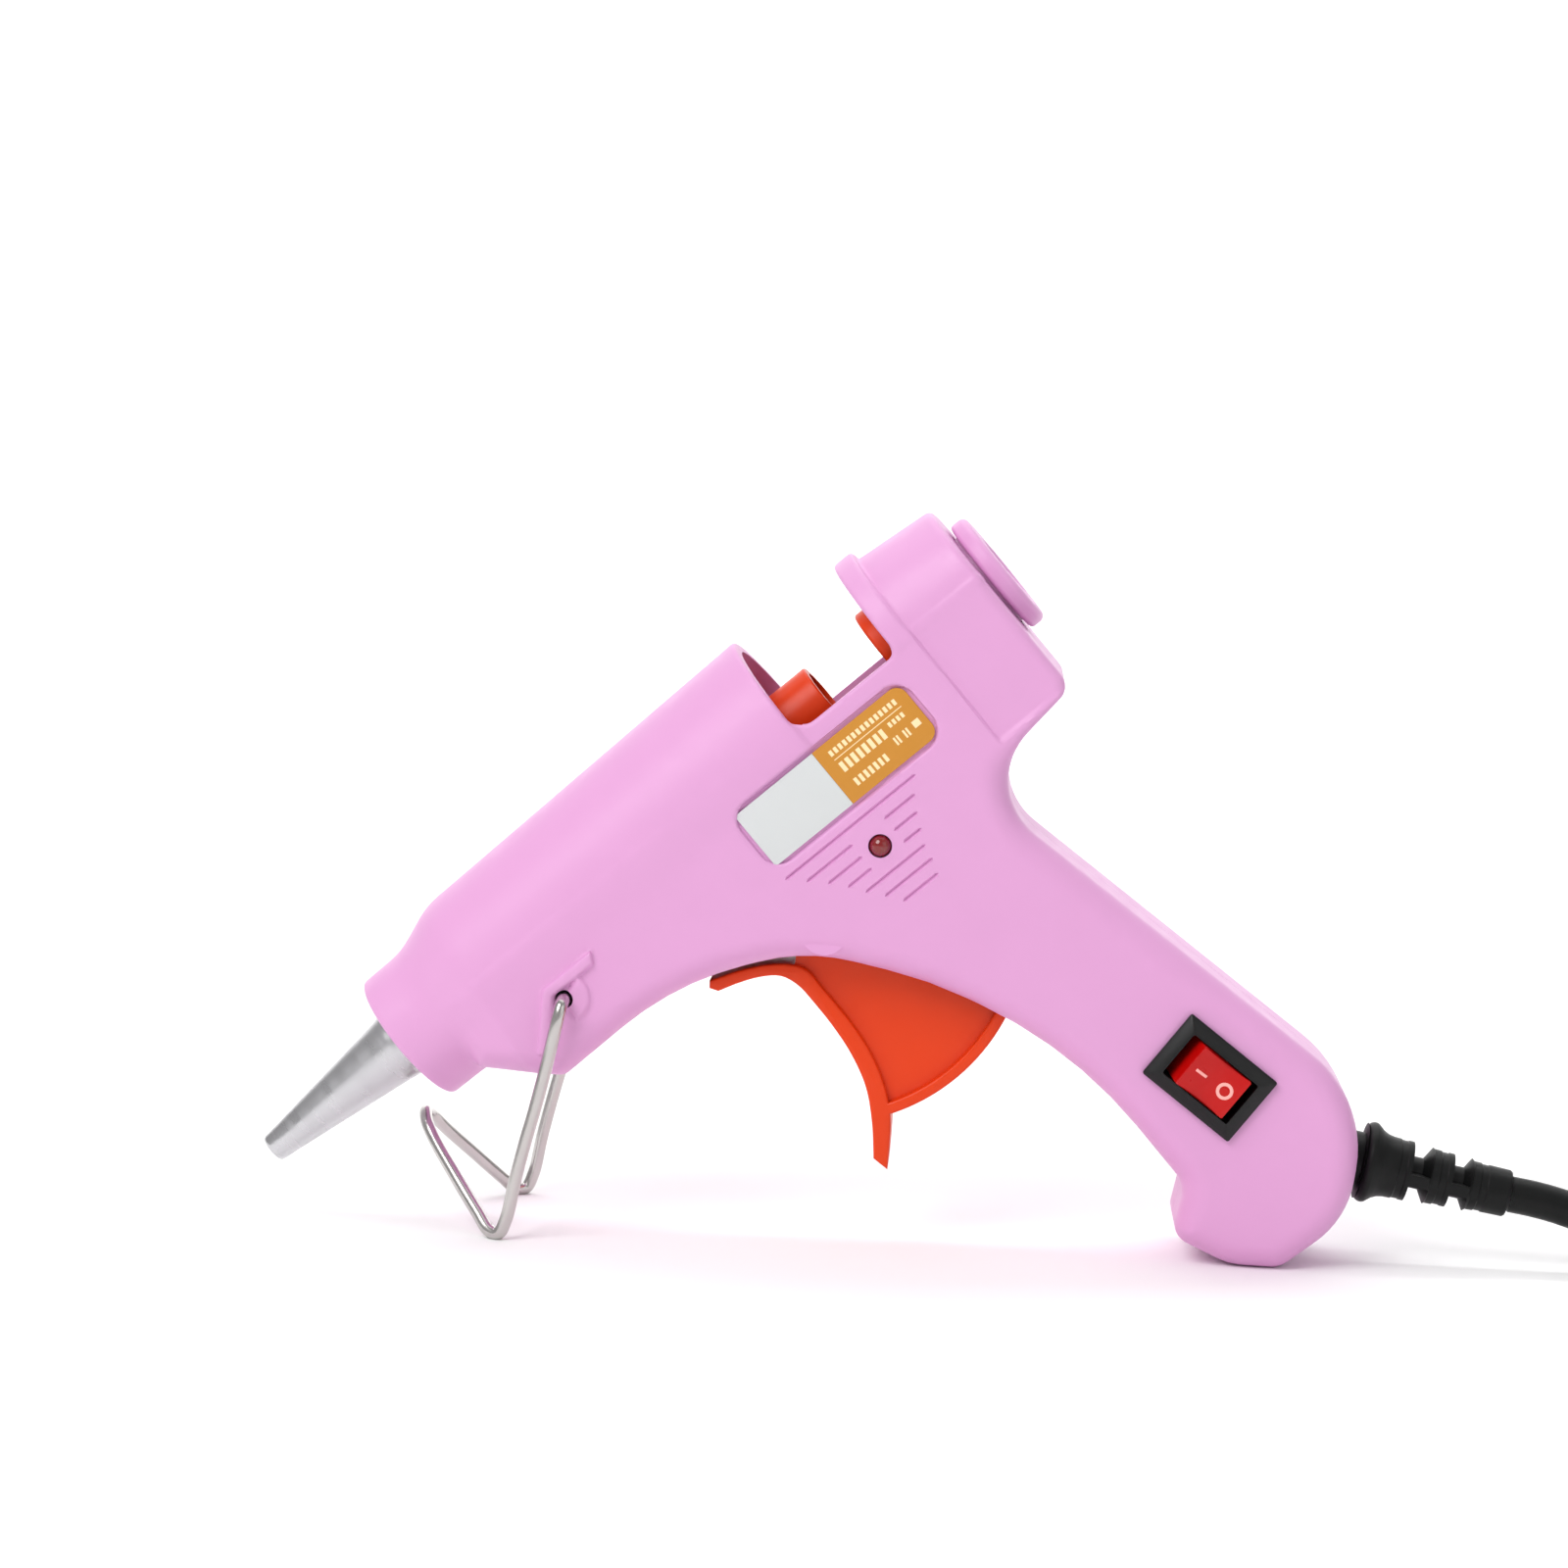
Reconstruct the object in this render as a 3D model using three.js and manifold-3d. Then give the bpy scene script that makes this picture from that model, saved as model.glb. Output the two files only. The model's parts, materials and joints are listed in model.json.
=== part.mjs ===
// Mini hot-melt glue gun for 7 mm glue sticks, standing on its wire stand and its butt.
//
// Millimetres. The gun is drawn in its own axes: a runs along the barrel from the nozzle
// towards the stick inlet, c is square to it and points away from the handle, and y runs
// across the gun, negative on the label side. In the gun's group a is x and c is z.
// The group is then tilted so that the stand and the butt both touch the floor.

import * as THREE from 'three';
import { mergeVertices } from 'three/addons/utils/BufferGeometryUtils.js';
import Module from 'manifold-3d';

const wasm = await Module();
wasm.setup();

// ---------------------------------------------------------------- driving dimensions

const GAP = 0.3; // between pieces that touch
const WALL = 1.8; // housing wall
const RIM = 95.5; // a of the barrel's open rear rim
const BARREL_LENGTH = 70.5; // collar face to rear rim
const COLLAR_RADIUS = 9.9;
const BARREL_FRONT_RADIUS = 12.65;
const BARREL_REAR_RADIUS = 13.86;
const HALF_WIDTH = 12.6; // half the body's thickness at the shoulder, on the axis
const WIDTH_SLOPE_A = 0.012; // the side faces open towards the rear
const WIDTH_SLOPE_C = 0.028; // and close towards the butt
const EDGE_BEVEL = 3.7; // width of the rounded edge, seen from the side
const WINDOW_LENGTH = 16.8; // the open window between the barrel and the rear block
const HANDLE_LENGTH = 80; // from the barrel axis to the butt, along the handle
const STICK_BORE = 3.9; // radius of everything a glue stick passes through
const TUBE_WALL = 1.1;
const NOZZLE_LENGTH = 25;
const NOZZLE_TIP_RADIUS = 2;
const NOZZLE_BASE_RADIUS = 4.95;
const NOZZLE_BORE = 0.9;
const CHAMBER_LENGTH = 38.9;
const CHAMBER_RADIUS = 6.3;
const HEATER = { length: 22, width: 8.4, thickness: 2.5 };
const PIN_RADIUS = 1.5; // trigger pivot pin
const TRIGGER_HALF = 5.6; // half the trigger's width
const TRIGGER_REACH = 27.7; // pivot to the outside of the trigger's rear rim
const TRIGGER_TURN = 22; // degrees
const ARM_LENGTH = 17; // pivot to the tip of the arm that drives the carriage
const STAND_WIRE = 0.9; // radius
const STAND_HALF = 15.8; // half the stand's width, at the middle of the wire
const SCREW_SHANK = 1;
const SCREW_HEAD = 2.5;
const LED_RADIUS = 1.5;
const SWITCH = { length: 15, width: 10.5, lip: 1.6, depth: 9, tilt: 8 };
const CORD_RADIUS = 2.5;
const RELIEF_LENGTH = 21;
const HANK = { inner: 12.2, outer: 25.3, run: 44, layers: 3, clear: 44.8, side: 11 };
const PLUG = { length: 36, width: 35, height: 13.7, pin: 2, pinLength: 19, spacing: 18.6 };

// ---------------------------------------------------------------- colours

const PINK = { color: 0xebacde, roughness: 0.42, metalness: 0 };
const ORANGE = { color: 0xeb551e, roughness: 0.4, metalness: 0 };
const STEEL = { color: 0xc9ccd0, roughness: 0.25, metalness: 1 };
const ALUMINIUM = { color: 0x9c9ea2, roughness: 0.45, metalness: 1 };
const BRASS = { color: 0xb89446, roughness: 0.35, metalness: 1 };
const BLACK = { color: 0x1c1e1e, roughness: 0.6, metalness: 0 };
const RED = { color: 0xd71e19, roughness: 0.35, metalness: 0 };
const SILICONE = { color: 0xd8d2c4, roughness: 0.7, metalness: 0 };
const GREY = { color: 0xdde0e0, roughness: 0.55, metalness: 0 };
const GOLD = { color: 0xdaa53c, roughness: 0.5, metalness: 0.1 };
const BROWN = { color: 0x7a4a2b, roughness: 0.6, metalness: 0 };
const BLUE = { color: 0x2a55a8, roughness: 0.5, metalness: 0 };

// ---------------------------------------------------------------- geometry helpers

const radians = THREE.MathUtils.degToRad;
const V2 = (x, y) => new THREE.Vector2(x, y);
const V3 = (x = 0, y = 0, z = 0) => new THREE.Vector3(x, y, z);

// A closed geometry as a solid that can be joined and cut.
function solid(geometry) {
  const bare = geometry.clone();
  bare.deleteAttribute('normal');
  bare.deleteAttribute('uv');
  const merged = mergeVertices(bare);
  const mesh = new wasm.Mesh({
    numProp: 3,
    vertProperties: Float32Array.from(merged.attributes.position.array),
    triVerts: Uint32Array.from(merged.index.array),
  });
  return new wasm.Manifold(mesh);
}

function geometryOf(manifold) {
  const mesh = manifold.getMesh();
  const geometry = new THREE.BufferGeometry();
  geometry.setAttribute('position', new THREE.BufferAttribute(mesh.vertProperties, 3));
  geometry.setIndex(new THREE.BufferAttribute(mesh.triVerts, 1));
  geometry.computeVertexNormals();
  return geometry;
}

const join = (first, ...others) => others.reduce((sum, next) => sum.add(next), first);
const cut = (first, ...others) => others.reduce((rest, next) => rest.subtract(next), first);

// Rings of points with the same count, skinned one to the next and closed at both ends.
// flat() gives the two coordinates in which an end ring is triangulated.
function loft(rings, flat) {
  const count = rings[0].length;
  const points = rings.flat();
  const faces = [];
  for (let ring = 0; ring + 1 < rings.length; ring++) {
    for (let i = 0; i < count; i++) {
      const next = (i + 1) % count;
      const low = ring * count;
      const high = low + count;
      faces.push([low + i, low + next, high + next], [low + i, high + next, high + i]);
    }
  }
  const last = (rings.length - 1) * count;
  for (const [i, j, k] of THREE.ShapeUtils.triangulateShape(rings[0].map(flat), [])) {
    faces.push([k, j, i]);
  }
  for (const [i, j, k] of THREE.ShapeUtils.triangulateShape(rings.at(-1).map(flat), [])) {
    faces.push([last + i, last + j, last + k]);
  }
  const volume = faces.reduce(
    (sum, [i, j, k]) => sum + points[i].dot(points[j].clone().cross(points[k])),
    0,
  );
  const geometry = new THREE.BufferGeometry().setFromPoints(points);
  geometry.setIndex(faces.flatMap(([i, j, k]) => (volume > 0 ? [i, j, k] : [i, k, j])));
  return solid(geometry);
}

// A solid of revolution about the line c = centre, from [radius, a] pairs.
function revolve(profile, sides = 32, centre = 0) {
  const lathe = new THREE.LatheGeometry(profile.map(([r, a]) => V2(r, a)), sides);
  lathe.rotateZ(-Math.PI / 2);
  lathe.translate(0, 0, centre);
  const made = solid(lathe);
  return made.volume() > 0 ? made : solid(flipped(lathe));
}

function flipped(geometry) {
  const copy = geometry.clone();
  const index = copy.index.array;
  for (let i = 0; i < index.length; i += 3) {
    [index[i + 1], index[i + 2]] = [index[i + 2], index[i + 1]];
  }
  return copy;
}

const washer = (inner, outer, from, to, sides = 32, centre = 0) =>
  revolve([[inner, from], [outer, from], [outer, to], [inner, to], [inner, from]], sides, centre);

const rod = (radius, from, to, sides = 24, centre = 0) =>
  revolve([[0, from], [radius, from], [radius, to], [0, to]], sides, centre);

// A round bar across the gun.
function bar(a, c, radius, from, to, sides = 20) {
  const cylinder = new THREE.CylinderGeometry(radius, radius, to - from, sides);
  cylinder.translate(a, (from + to) / 2, c);
  return solid(cylinder);
}

function block([a0, a1], [y0, y1], [c0, c1]) {
  const box = new THREE.BoxGeometry(a1 - a0, y1 - y0, c1 - c0);
  box.translate((a0 + a1) / 2, (y0 + y1) / 2, (c0 + c1) / 2);
  return solid(box);
}

// An outline in a and c, extruded across the gun.
function prism(outline, from, to) {
  const shape = new THREE.Shape(outline.map(([a, c]) => V2(a, c)));
  const extruded = new THREE.ExtrudeGeometry(shape, { depth: to - from, bevelEnabled: false });
  extruded.rotateX(Math.PI / 2);
  extruded.translate(0, to, 0);
  return solid(extruded);
}

const arc = (a, c, radius, from, to, steps) =>
  Array.from({ length: steps + 1 }, (_, i) => {
    const angle = radians(from + ((to - from) * i) / steps);
    return [a + radius * Math.cos(angle), c + radius * Math.sin(angle)];
  });

const ring = (radius, sides) => new THREE.Shape(
  arc(0, 0, radius, 0, 360, sides).slice(1).map(([x, y]) => V2(x, y)),
);

// A tube along a smooth curve through the points.
function tube(points, radius, sides, steps) {
  const path = new THREE.CatmullRomCurve3(points, false, 'centripetal');
  return solid(new THREE.ExtrudeGeometry(ring(radius, sides), { steps, extrudePath: path }));
}

// Corners are [a, c, radius, bevel share, wall share], counter-clockwise; the shares belong
// to the edge that starts at the corner. Returns the outline pulled in by the wall and the
// bevel, with the same number of points whatever those are.
function rounded(corners, wall = 0, bevel = 0) {
  const edges = corners.map(([a, c, , bevelShare = 1, wallShare = 1], i) => {
    const [nextA, nextC] = corners[(i + 1) % corners.length];
    const along = V2(nextA - a, nextC - c).normalize();
    const depth = wall * wallShare + bevel * bevelShare;
    return { along, depth, from: V2(a - along.y * depth, c + along.x * depth) };
  });
  return corners.flatMap(([, , radius], i) => {
    const before = edges[(i + edges.length - 1) % edges.length];
    const after = edges[i];
    const turn = Math.atan2(before.along.cross(after.along), before.along.dot(after.along));
    const step = after.from.clone().sub(before.from);
    const reach = step.cross(after.along) / before.along.cross(after.along);
    const corner = before.from.clone().addScaledVector(before.along, reach);
    const depth = Math.min(before.depth, after.depth);
    const bend = Math.max(radius - Math.sign(turn) * depth, 0.02);
    const start = corner.clone().addScaledVector(before.along, -bend * Math.tan(Math.abs(turn) / 2));
    const side = Math.sign(turn) * bend;
    const centre = start.clone().add(V2(-before.along.y * side, before.along.x * side));
    const steps = Math.max(1, Math.ceil(Math.abs(turn) / radians(19)));
    return Array.from({ length: steps + 1 }, (_, k) =>
      start.clone().rotateAround(centre, (turn * k) / steps));
  });
}

// ---------------------------------------------------------------- where things are

const front = RIM - BARREL_LENGTH; // collar face
const windowEnd = RIM + WINDOW_LENGTH;
const rear = windowEnd + 15.4; // flat rear face of the rear block
const shoulder = front + 13.25;
const handleWay = V2(Math.cos(radians(-78)), Math.sin(radians(-78)));
const nominalHandle = 80;

// A point of the butt, given where it is with an 80 mm handle.
const butt = (a, c) => {
  const more = HANDLE_LENGTH - nominalHandle;
  return [a + handleWay.x * more, c + handleWay.y * more];
};

// Half the body's thickness at a point of its side face.
const halfAt = (a, c) =>
  HALF_WIDTH + WIDTH_SLOPE_A * (a - 38.25) + WIDTH_SLOPE_C * Math.min(c, 0);

// A frame on the side face: x along the given direction in the face, z outwards.
function sideFrame(a, c, degrees, side = -1) {
  const outward = V3(-WIDTH_SLOPE_A, side, -WIDTH_SLOPE_C).normalize();
  const along = V3(Math.cos(radians(degrees)), 0, Math.sin(radians(degrees)));
  along.addScaledVector(outward, -along.dot(outward)).normalize();
  const across = outward.clone().cross(along);
  const frame = new THREE.Matrix4().makeBasis(along, across, outward);
  return frame.setPosition(a, side * halfAt(a, c), c);
}

// A box in a side frame, as a solid in the gun's axes.
function sideBox(frame, [x0, x1], [y0, y1], [z0, z1]) {
  const box = new THREE.BoxGeometry(x1 - x0, y1 - y0, z1 - z0);
  box.translate((x0 + x1) / 2, (y0 + y1) / 2, (z0 + z1) / 2);
  return solid(box.applyMatrix4(frame));
}

// An outline in a side frame's x and y, extruded along its z.
function sidePrism(frame, outline, from, to) {
  const shape = new THREE.Shape(outline.map(([x, y]) => V2(x, y)));
  const extruded = new THREE.ExtrudeGeometry(shape, { depth: to - from, bevelEnabled: false });
  extruded.translate(0, 0, from);
  return solid(extruded.applyMatrix4(frame));
}

const pivot = { a: 81, c: -24 }; // trigger
const armAngle = 90 - TRIGGER_TURN / 2;
const armTip = {
  a: pivot.a + ARM_LENGTH * Math.cos(radians(armAngle)),
  c: pivot.c + ARM_LENGTH * Math.sin(radians(armAngle)),
};
const travel = 2 * ARM_LENGTH * Math.sin(radians(TRIGGER_TURN / 2));
const carriage = { front: armTip.a + 1.8, rear: RIM + 5.1 };
const sledFront = armTip.a - 4.2;
const tubeRadius = STICK_BORE + TUBE_WALL;
const sledTop = -tubeRadius - 0.9;
const sledBottom = sledTop - 3.5;
const sledHalf = 3.5;
const chamber = { front: front + 2.1, rear: front + 2.1 + CHAMBER_LENGTH };
const sleeveEnd = carriage.front - travel - 0.6;
const stand = { a: front + 22.7, c: -8.9 };
const ledAt = { a: 94.3, c: -19.8 };
const [switchA, switchC] = butt(108.8, -72.3);
const switchFrame = sideFrame(switchA, switchC, -78.6);
const labelFrame = sideFrame(95.9, -8.7, 0);
const LABEL = { length: 28.6, width: 8.8, blank: 13.5, recess: 0.7, thick: 0.25 };
const exitWay = radians(-51.9); // direction of the cord in the gun's axes
const [exitA, exitC] = butt(116.6, -96.0);

// [a, c, post radius] of each housing screw.
const screwPlaces = [
  [front + 18.2, -13.4, 2.1],
  [front + 33.2, -13.6, 2.1],
  [106, -20, 2.8],
  [...butt(105.6, -57), 2.8],
  [...butt(99.6, -91.2), 2.8],
  [rear - 6.4, -14.4, 2.8],
];

// ---------------------------------------------------------------- housing

// The flat-sided body: web, handle and the lower part of the rear block.
const bodyCorners = [
  [front + 6.5, -9.05, 0.5],
  [front + 15.4, -17.25, 2],
  [front + 35.5, -17, 43],
  [77.1, -24.7, 26],
  [87.4, -38.4, 55],
  [96.6, -58.1, 62],
  [...butt(96.6, -82.3), 4],
  [...butt(90.7, -86.7), 2.8],
  [...butt(94.2, -94.7), 10],
  [...butt(99.3, -99.46), 4],
  [...butt(110.75, -100), 13],
  [...butt(123.4, -88.76), 17],
  [rear - 18.6, -21.9, 9.5],
  [rear, -19.5, 2.5, 0.4],
  [rear, 0, 0.2, 0, 0],
  [front + 6.5, 0, 0.2, 0],
];

// Layers of the rounded edge: how far in from the outline, and how far below the side face.
const edgeLayers = [[0, 0.95], [0.3, 0.3], [1, 0]];

function bodyPlate(wall) {
  const layer = ([share, drop], side) =>
    rounded(bodyCorners, wall, EDGE_BEVEL * share).map(({ x, y }) =>
      V3(x, side * (halfAt(x, y) - wall - EDGE_BEVEL * drop), y));
  const outward = edgeLayers.map((step) => layer(step, 1));
  const inward = edgeLayers.map((step) => layer(step, -1)).reverse();
  return loft([...inward, ...outward], (point) => V2(point.x, point.z));
}

// The rounded top of the rear block: rings of [a, height, half width].
function arch(rings) {
  const steps = 24;
  return loft(
    rings.map(([a, height, half]) =>
      arc(0, 0, 1, 0, 360, steps).slice(1).map(([x, y]) => V3(a, half * x, height * y))),
    (point) => V2(point.y, point.z),
  );
}

const stepBack = 0.5; // the rear block's sides sit this much lower than the body's
const blockStart = windowEnd + 3.4;
const blockHalf = halfAt(blockStart, 0) - stepBack;

function housingOutside() {
  const barrel = revolve([
    [0, front], [COLLAR_RADIUS, front], [COLLAR_RADIUS + 0.2, front + 8],
    [BARREL_FRONT_RADIUS, shoulder], [BARREL_REAR_RADIUS, RIM], [0, RIM],
  ], 36);
  const flangeHalf = halfAt(windowEnd, 0) + 0.1;
  const flange = arch([[windowEnd, 12.9, flangeHalf], [windowEnd + 0.4, 13.2, flangeHalf],
    [blockStart, 13.2, flangeHalf]]);
  const top = arch([[blockStart - 1, 11.9, blockHalf], [rear - 0.5, 10.8, blockHalf - 0.1],
    [rear, 10.3, blockHalf - 0.6]]);
  const beyond = [blockStart, rear + 5];
  return join(
    cut(
      bodyPlate(0),
      block(beyond, [blockHalf, 30], [-19, 20]),
      block(beyond, [-30, -blockHalf], [-19, 20]),
    ),
    barrel, flange, top,
  );
}

function housingInside() {
  const barrel = revolve([
    [0, front - 1], [NOZZLE_BASE_RADIUS + 0.35, front - 1],
    [NOZZLE_BASE_RADIUS + 0.35, front + WALL], [COLLAR_RADIUS - WALL, front + WALL],
    [COLLAR_RADIUS - WALL, front + 8.6], [BARREL_FRONT_RADIUS - WALL, shoulder + 0.6],
    [BARREL_REAR_RADIUS - WALL, RIM + 1], [0, RIM + 1],
  ], 36);
  const top = arch([[windowEnd + WALL, 11.9 - WALL, blockHalf - WALL],
    [rear - WALL, 10.8 - WALL, blockHalf - WALL]]);
  return join(bodyPlate(WALL), barrel, top);
}

const windowCut = () => prism(
  [
    ...arc(RIM + 2.4, 1.3, 2.4, 180, 270, 5),
    ...arc(windowEnd - 1.2, 0.1, 1.2, 270, 360, 3),
    [windowEnd, 20], [RIM, 20],
  ],
  -20, 20,
);

// Room for the trigger to pass through the body's edge, with the arc its rim runs along.
function triggerSlot() {
  const outline = [
    [62.3, -52], ...arc(pivot.a, pivot.c, TRIGGER_REACH + 0.7, -95, -50, 8),
    [92, -26], [70, -16.2], [62.3, -16.2],
  ];
  return prism(outline, -TRIGGER_HALF - 0.5, TRIGGER_HALF + 0.5);
}

const bushOuter = STICK_BORE + 2.2;
const springEnd = windowEnd - 2.1; // the rib that holds the spring's far end
const collarCentre = -1.7; // the round collar at the inlet sits a little low

function housingCuts() {
  const holes = [
    windowCut(),
    triggerSlot(),
    rod(bushOuter + GAP, windowEnd - 1, rear - 4, 32),
    rod(7.5, rear - 3, rear + 1, 32, collarCentre),
    bar(stand.a, stand.c, STAND_WIRE + 0.4, -20, -9.5),
    bar(stand.a, stand.c, STAND_WIRE + 0.4, 9.5, 20),
    bar(ledAt.a, ledAt.c, LED_RADIUS + GAP, -20, -8),
    sideBox(switchFrame, [-6.6, 6.6], [-4.4, 4.4], [-5, 5]),
    sidePrism(labelFrame, labelOutline(0.6, 3), -LABEL.recess, 2),
    ...grooves(),
    reliefSolid(GAP),
  ];
  return holes;
}

// The label's outline in its frame, grown by some margin, with rounded corners.
function labelOutline(margin, radius) {
  const x = LABEL.length / 2 + margin;
  const y = LABEL.width / 2 + margin;
  return rounded([[-x, -y, radius], [x, -y, radius], [x, y, radius], [-x, y, radius]])
    .map((point) => [point.x, point.y]);
}

// Engraved lines under the label, shorter row by row, broken round the indicator.
function grooves() {
  const pitch = 2.05;
  const starts = [81.3, 83.35, 85.4, 87.2, 88.6, 90.3, 91.8];
  const ends = [104.3, 102.6, 101.3, 100.3, 99.3, 98.9, 98.2];
  return starts.flatMap((start, row) => {
    const c = -15.3 - row * pitch;
    const clear = 2.6;
    const breaks = Math.abs(c - ledAt.c) < clear ? [[start, ledAt.a - clear], [ledAt.a + clear, ends[row]]]
      : [[start, ends[row]]];
    return breaks.map(([from, to]) => {
      const middle = (from + to) / 2;
      const half = (to - from) / 2;
      return sideBox(sideFrame(middle, c, 0), [-half, half], [-0.3, 0.3], [-0.35, 1]);
    });
  });
}

// The raised angle that the stand's leg stops on, and the boss round the stand's hole.
function standStops(side) {
  const frame = sideFrame(stand.a, stand.c, 0, side);
  const turnOver = ([x, y]) => [x, -side * y];
  const rib = [[7.2, 2.9], [-1.5, 2.9], [-7.7, -3.6], [-6.3, -5.1], [-0.7, 1.2], [6.3, 1.2]];
  const boss = [[0, 0], ...arc(0.2, 0.1, 3.5, -105, 20, 8)];
  return [rib, boss].map((outline, i) =>
    sidePrism(frame, outline.map(turnOver), -0.8, i ? 0.6 : 0.9));
}

// Pieces of the housing that stand inside its walls.
function housingInsides() {
  const wallAt = (a, c) => halfAt(a, c) - WALL / 2;
  const posts = screwPlaces.flatMap(([a, c, radius]) => [
    bar(a, c, radius, -wallAt(a, c), -GAP / 2, 12), bar(a, c, radius, GAP / 2, wallAt(a, c), 12),
    bar(a, c, SCREW_HEAD + GAP + 1.2, wallAt(a, c) - 4.6, wallAt(a, c), 14),
  ]);
  const bosses = [-1, 1].map((side) => {
    const ends = [side * (TRIGGER_HALF + 0.8), side * wallAt(pivot.a, pivot.c)].sort((p, q) => p - q);
    return bar(pivot.a, pivot.c, PIN_RADIUS + 1.8, ...ends);
  });
  const railAt = wallAt(RIM, sledBottom);
  const rails = [-1, 1].map((side) => {
    const ends = [side * (sledHalf + 3.5), side * railAt].sort((p, q) => p - q);
    return block([sledFront - travel - 1, windowEnd - 1.4], ends, [sledBottom - 1.5, sledBottom - GAP]);
  });
  const springStop = [-1, 1].map((side) => {
    const ends = [side * GAP, side * railAt].sort((p, q) => p - q);
    return block([springEnd, windowEnd + 0.6], ends, [sledBottom - 1.5, -bushOuter - 0.6]);
  });
  const supports = [[chamber.front + 1.2, 8.6], [chamber.rear - 2, 11.5]].map(([a, outer]) =>
    cut(washer(CHAMBER_RADIUS + GAP, outer, a, a + 1.6, 32),
      block([a - 1, a + 3], [-9.4, 9.4], [-20, -6.7])));
  return [...posts, ...bosses, ...rails, ...springStop, ...supports];
}

function screwCuts() {
  return screwPlaces.flatMap(([a, c]) => {
    const face = halfAt(a, c);
    return [
      bar(a, c, SCREW_SHANK + GAP, -face + WALL + 1, face - 3, 10),
      bar(a, c, SCREW_HEAD + GAP, face - 4.5, 20, 14),
    ];
  });
}

// The strain relief, turned so that it leaves the butt along the cord's way. It is grown by
// the margin where it is used as the housing's cut for it.
function reliefSolid(margin = 0) {
  const neck = 3.9 + margin;
  const profile = [
    [0, -8.6 - margin], [5.6 + margin, -8.6 - margin], [5.6 + margin, -6.2 + margin],
    [neck, -6.2 + margin], [neck, 0.4],
  ];
  const outside = margin ? [[neck, 12], [0, 12]] : reliefOutside();
  const lathe = new THREE.LatheGeometry([...profile, ...outside].map(([r, x]) => V2(r, x)), 16);
  lathe.rotateZ(-Math.PI / 2);
  lathe.rotateY(-exitWay);
  lathe.translate(exitA, 0, exitC);
  const made = solid(lathe);
  return made.volume() > 0 ? made : solid(flipped(lathe));
}

// Rounded flange, then a taper of three segments with a notch behind each of the first two.
function reliefOutside() {
  const taperStart = 3.9;
  const segments = 3;
  const pitch = (RELIEF_LENGTH - taperStart) / segments;
  const points = [[5.6, 0.4], [5.6, 2.1], [5.1, 2.8]];
  for (let i = 0; i < segments; i++) {
    const at = taperStart + i * pitch;
    const radius = 4.2 - 0.42 * i;
    points.push([radius, at], [radius - 0.1, at + pitch * 0.58]);
    if (i < segments - 1) points.push([2.9, at + pitch * 0.7], [2.9, at + pitch * 0.88]);
  }
  return [...points, [3.1, RELIEF_LENGTH], [0, RELIEF_LENGTH]];
}

function housingHalves() {
  const hollow = join(cut(housingOutside(), housingInside()), ...[-1, 1].flatMap(standStops));
  const whole = cut(join(hollow, ...housingInsides()), ...housingCuts(), ...screwCuts(),
    bar(pivot.a, pivot.c, PIN_RADIUS + 0.1, -11.4, 11.4));
  const half = (from, to) => whole.intersect(block([-50, 250], [from, to], [-200, 60]));
  return { left: half(-40, -GAP / 2), right: half(GAP / 2, 40) };
}

// ---------------------------------------------------------------- heating and feed

const nozzle = () => revolve([
  [NOZZLE_BORE, front - NOZZLE_LENGTH], [NOZZLE_TIP_RADIUS, front - NOZZLE_LENGTH],
  [NOZZLE_BASE_RADIUS, front - 1.5], [NOZZLE_BASE_RADIUS, chamber.front + 3.9],
  [3.2, chamber.front + 3.9], [2.9, front - NOZZLE_LENGTH / 2],
  [NOZZLE_BORE, front - NOZZLE_LENGTH + 4], [NOZZLE_BORE, front - NOZZLE_LENGTH],
], 32);

const heaterTop = -STICK_BORE - 2.6;
const heaterFrom = chamber.front + 11.9;
const pocketWall = 1.2;
const spigot = 3.5;

function heatingChamber() {
  const thread = NOZZLE_BASE_RADIUS + GAP;
  const barrel = revolve([
    [STICK_BORE, chamber.rear + spigot], [STICK_BORE + TUBE_WALL, chamber.rear + spigot],
    [STICK_BORE + TUBE_WALL, chamber.rear], [CHAMBER_RADIUS, chamber.rear],
    [CHAMBER_RADIUS, chamber.front], [thread, chamber.front], [thread, chamber.front + 4.2],
    [3.2, chamber.front + 4.2], [STICK_BORE, chamber.front + 9],
    [STICK_BORE, chamber.rear + spigot],
  ], 28);
  const half = HEATER.width / 2 + GAP;
  const floor = heaterTop - HEATER.thickness;
  const ends = [heaterFrom - 1, heaterFrom + HEATER.length + 1];
  const pocket = block(ends, [-half - pocketWall, half + pocketWall],
    [floor - GAP - pocketWall, -STICK_BORE - 0.9]);
  const bore = rod(STICK_BORE, chamber.front + 9, chamber.rear, 28);
  const slot = block([ends[0] - 1, ends[1] + 1], [-half, half], [floor - GAP, heaterTop + GAP]);
  return cut(join(barrel, pocket), bore, slot);
}

const heater = () => block([heaterFrom, heaterFrom + HEATER.length],
  [-HEATER.width / 2, HEATER.width / 2], [heaterTop - HEATER.thickness, heaterTop]);

function heaterClip() {
  const inner = HEATER.width / 2 + 2 * GAP + pocketWall;
  const floor = heaterTop - HEATER.thickness - 2 * GAP - pocketWall;
  const span = [heaterFrom + 8.5, heaterFrom + 16];
  const outside = block(span, [-inner - 0.5, inner + 0.5], [floor - 0.5, heaterTop + 1]);
  return cut(outside, block([span[0] - 1, span[1] + 1], [-inner, inner], [floor, heaterTop + 2]));
}

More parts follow.
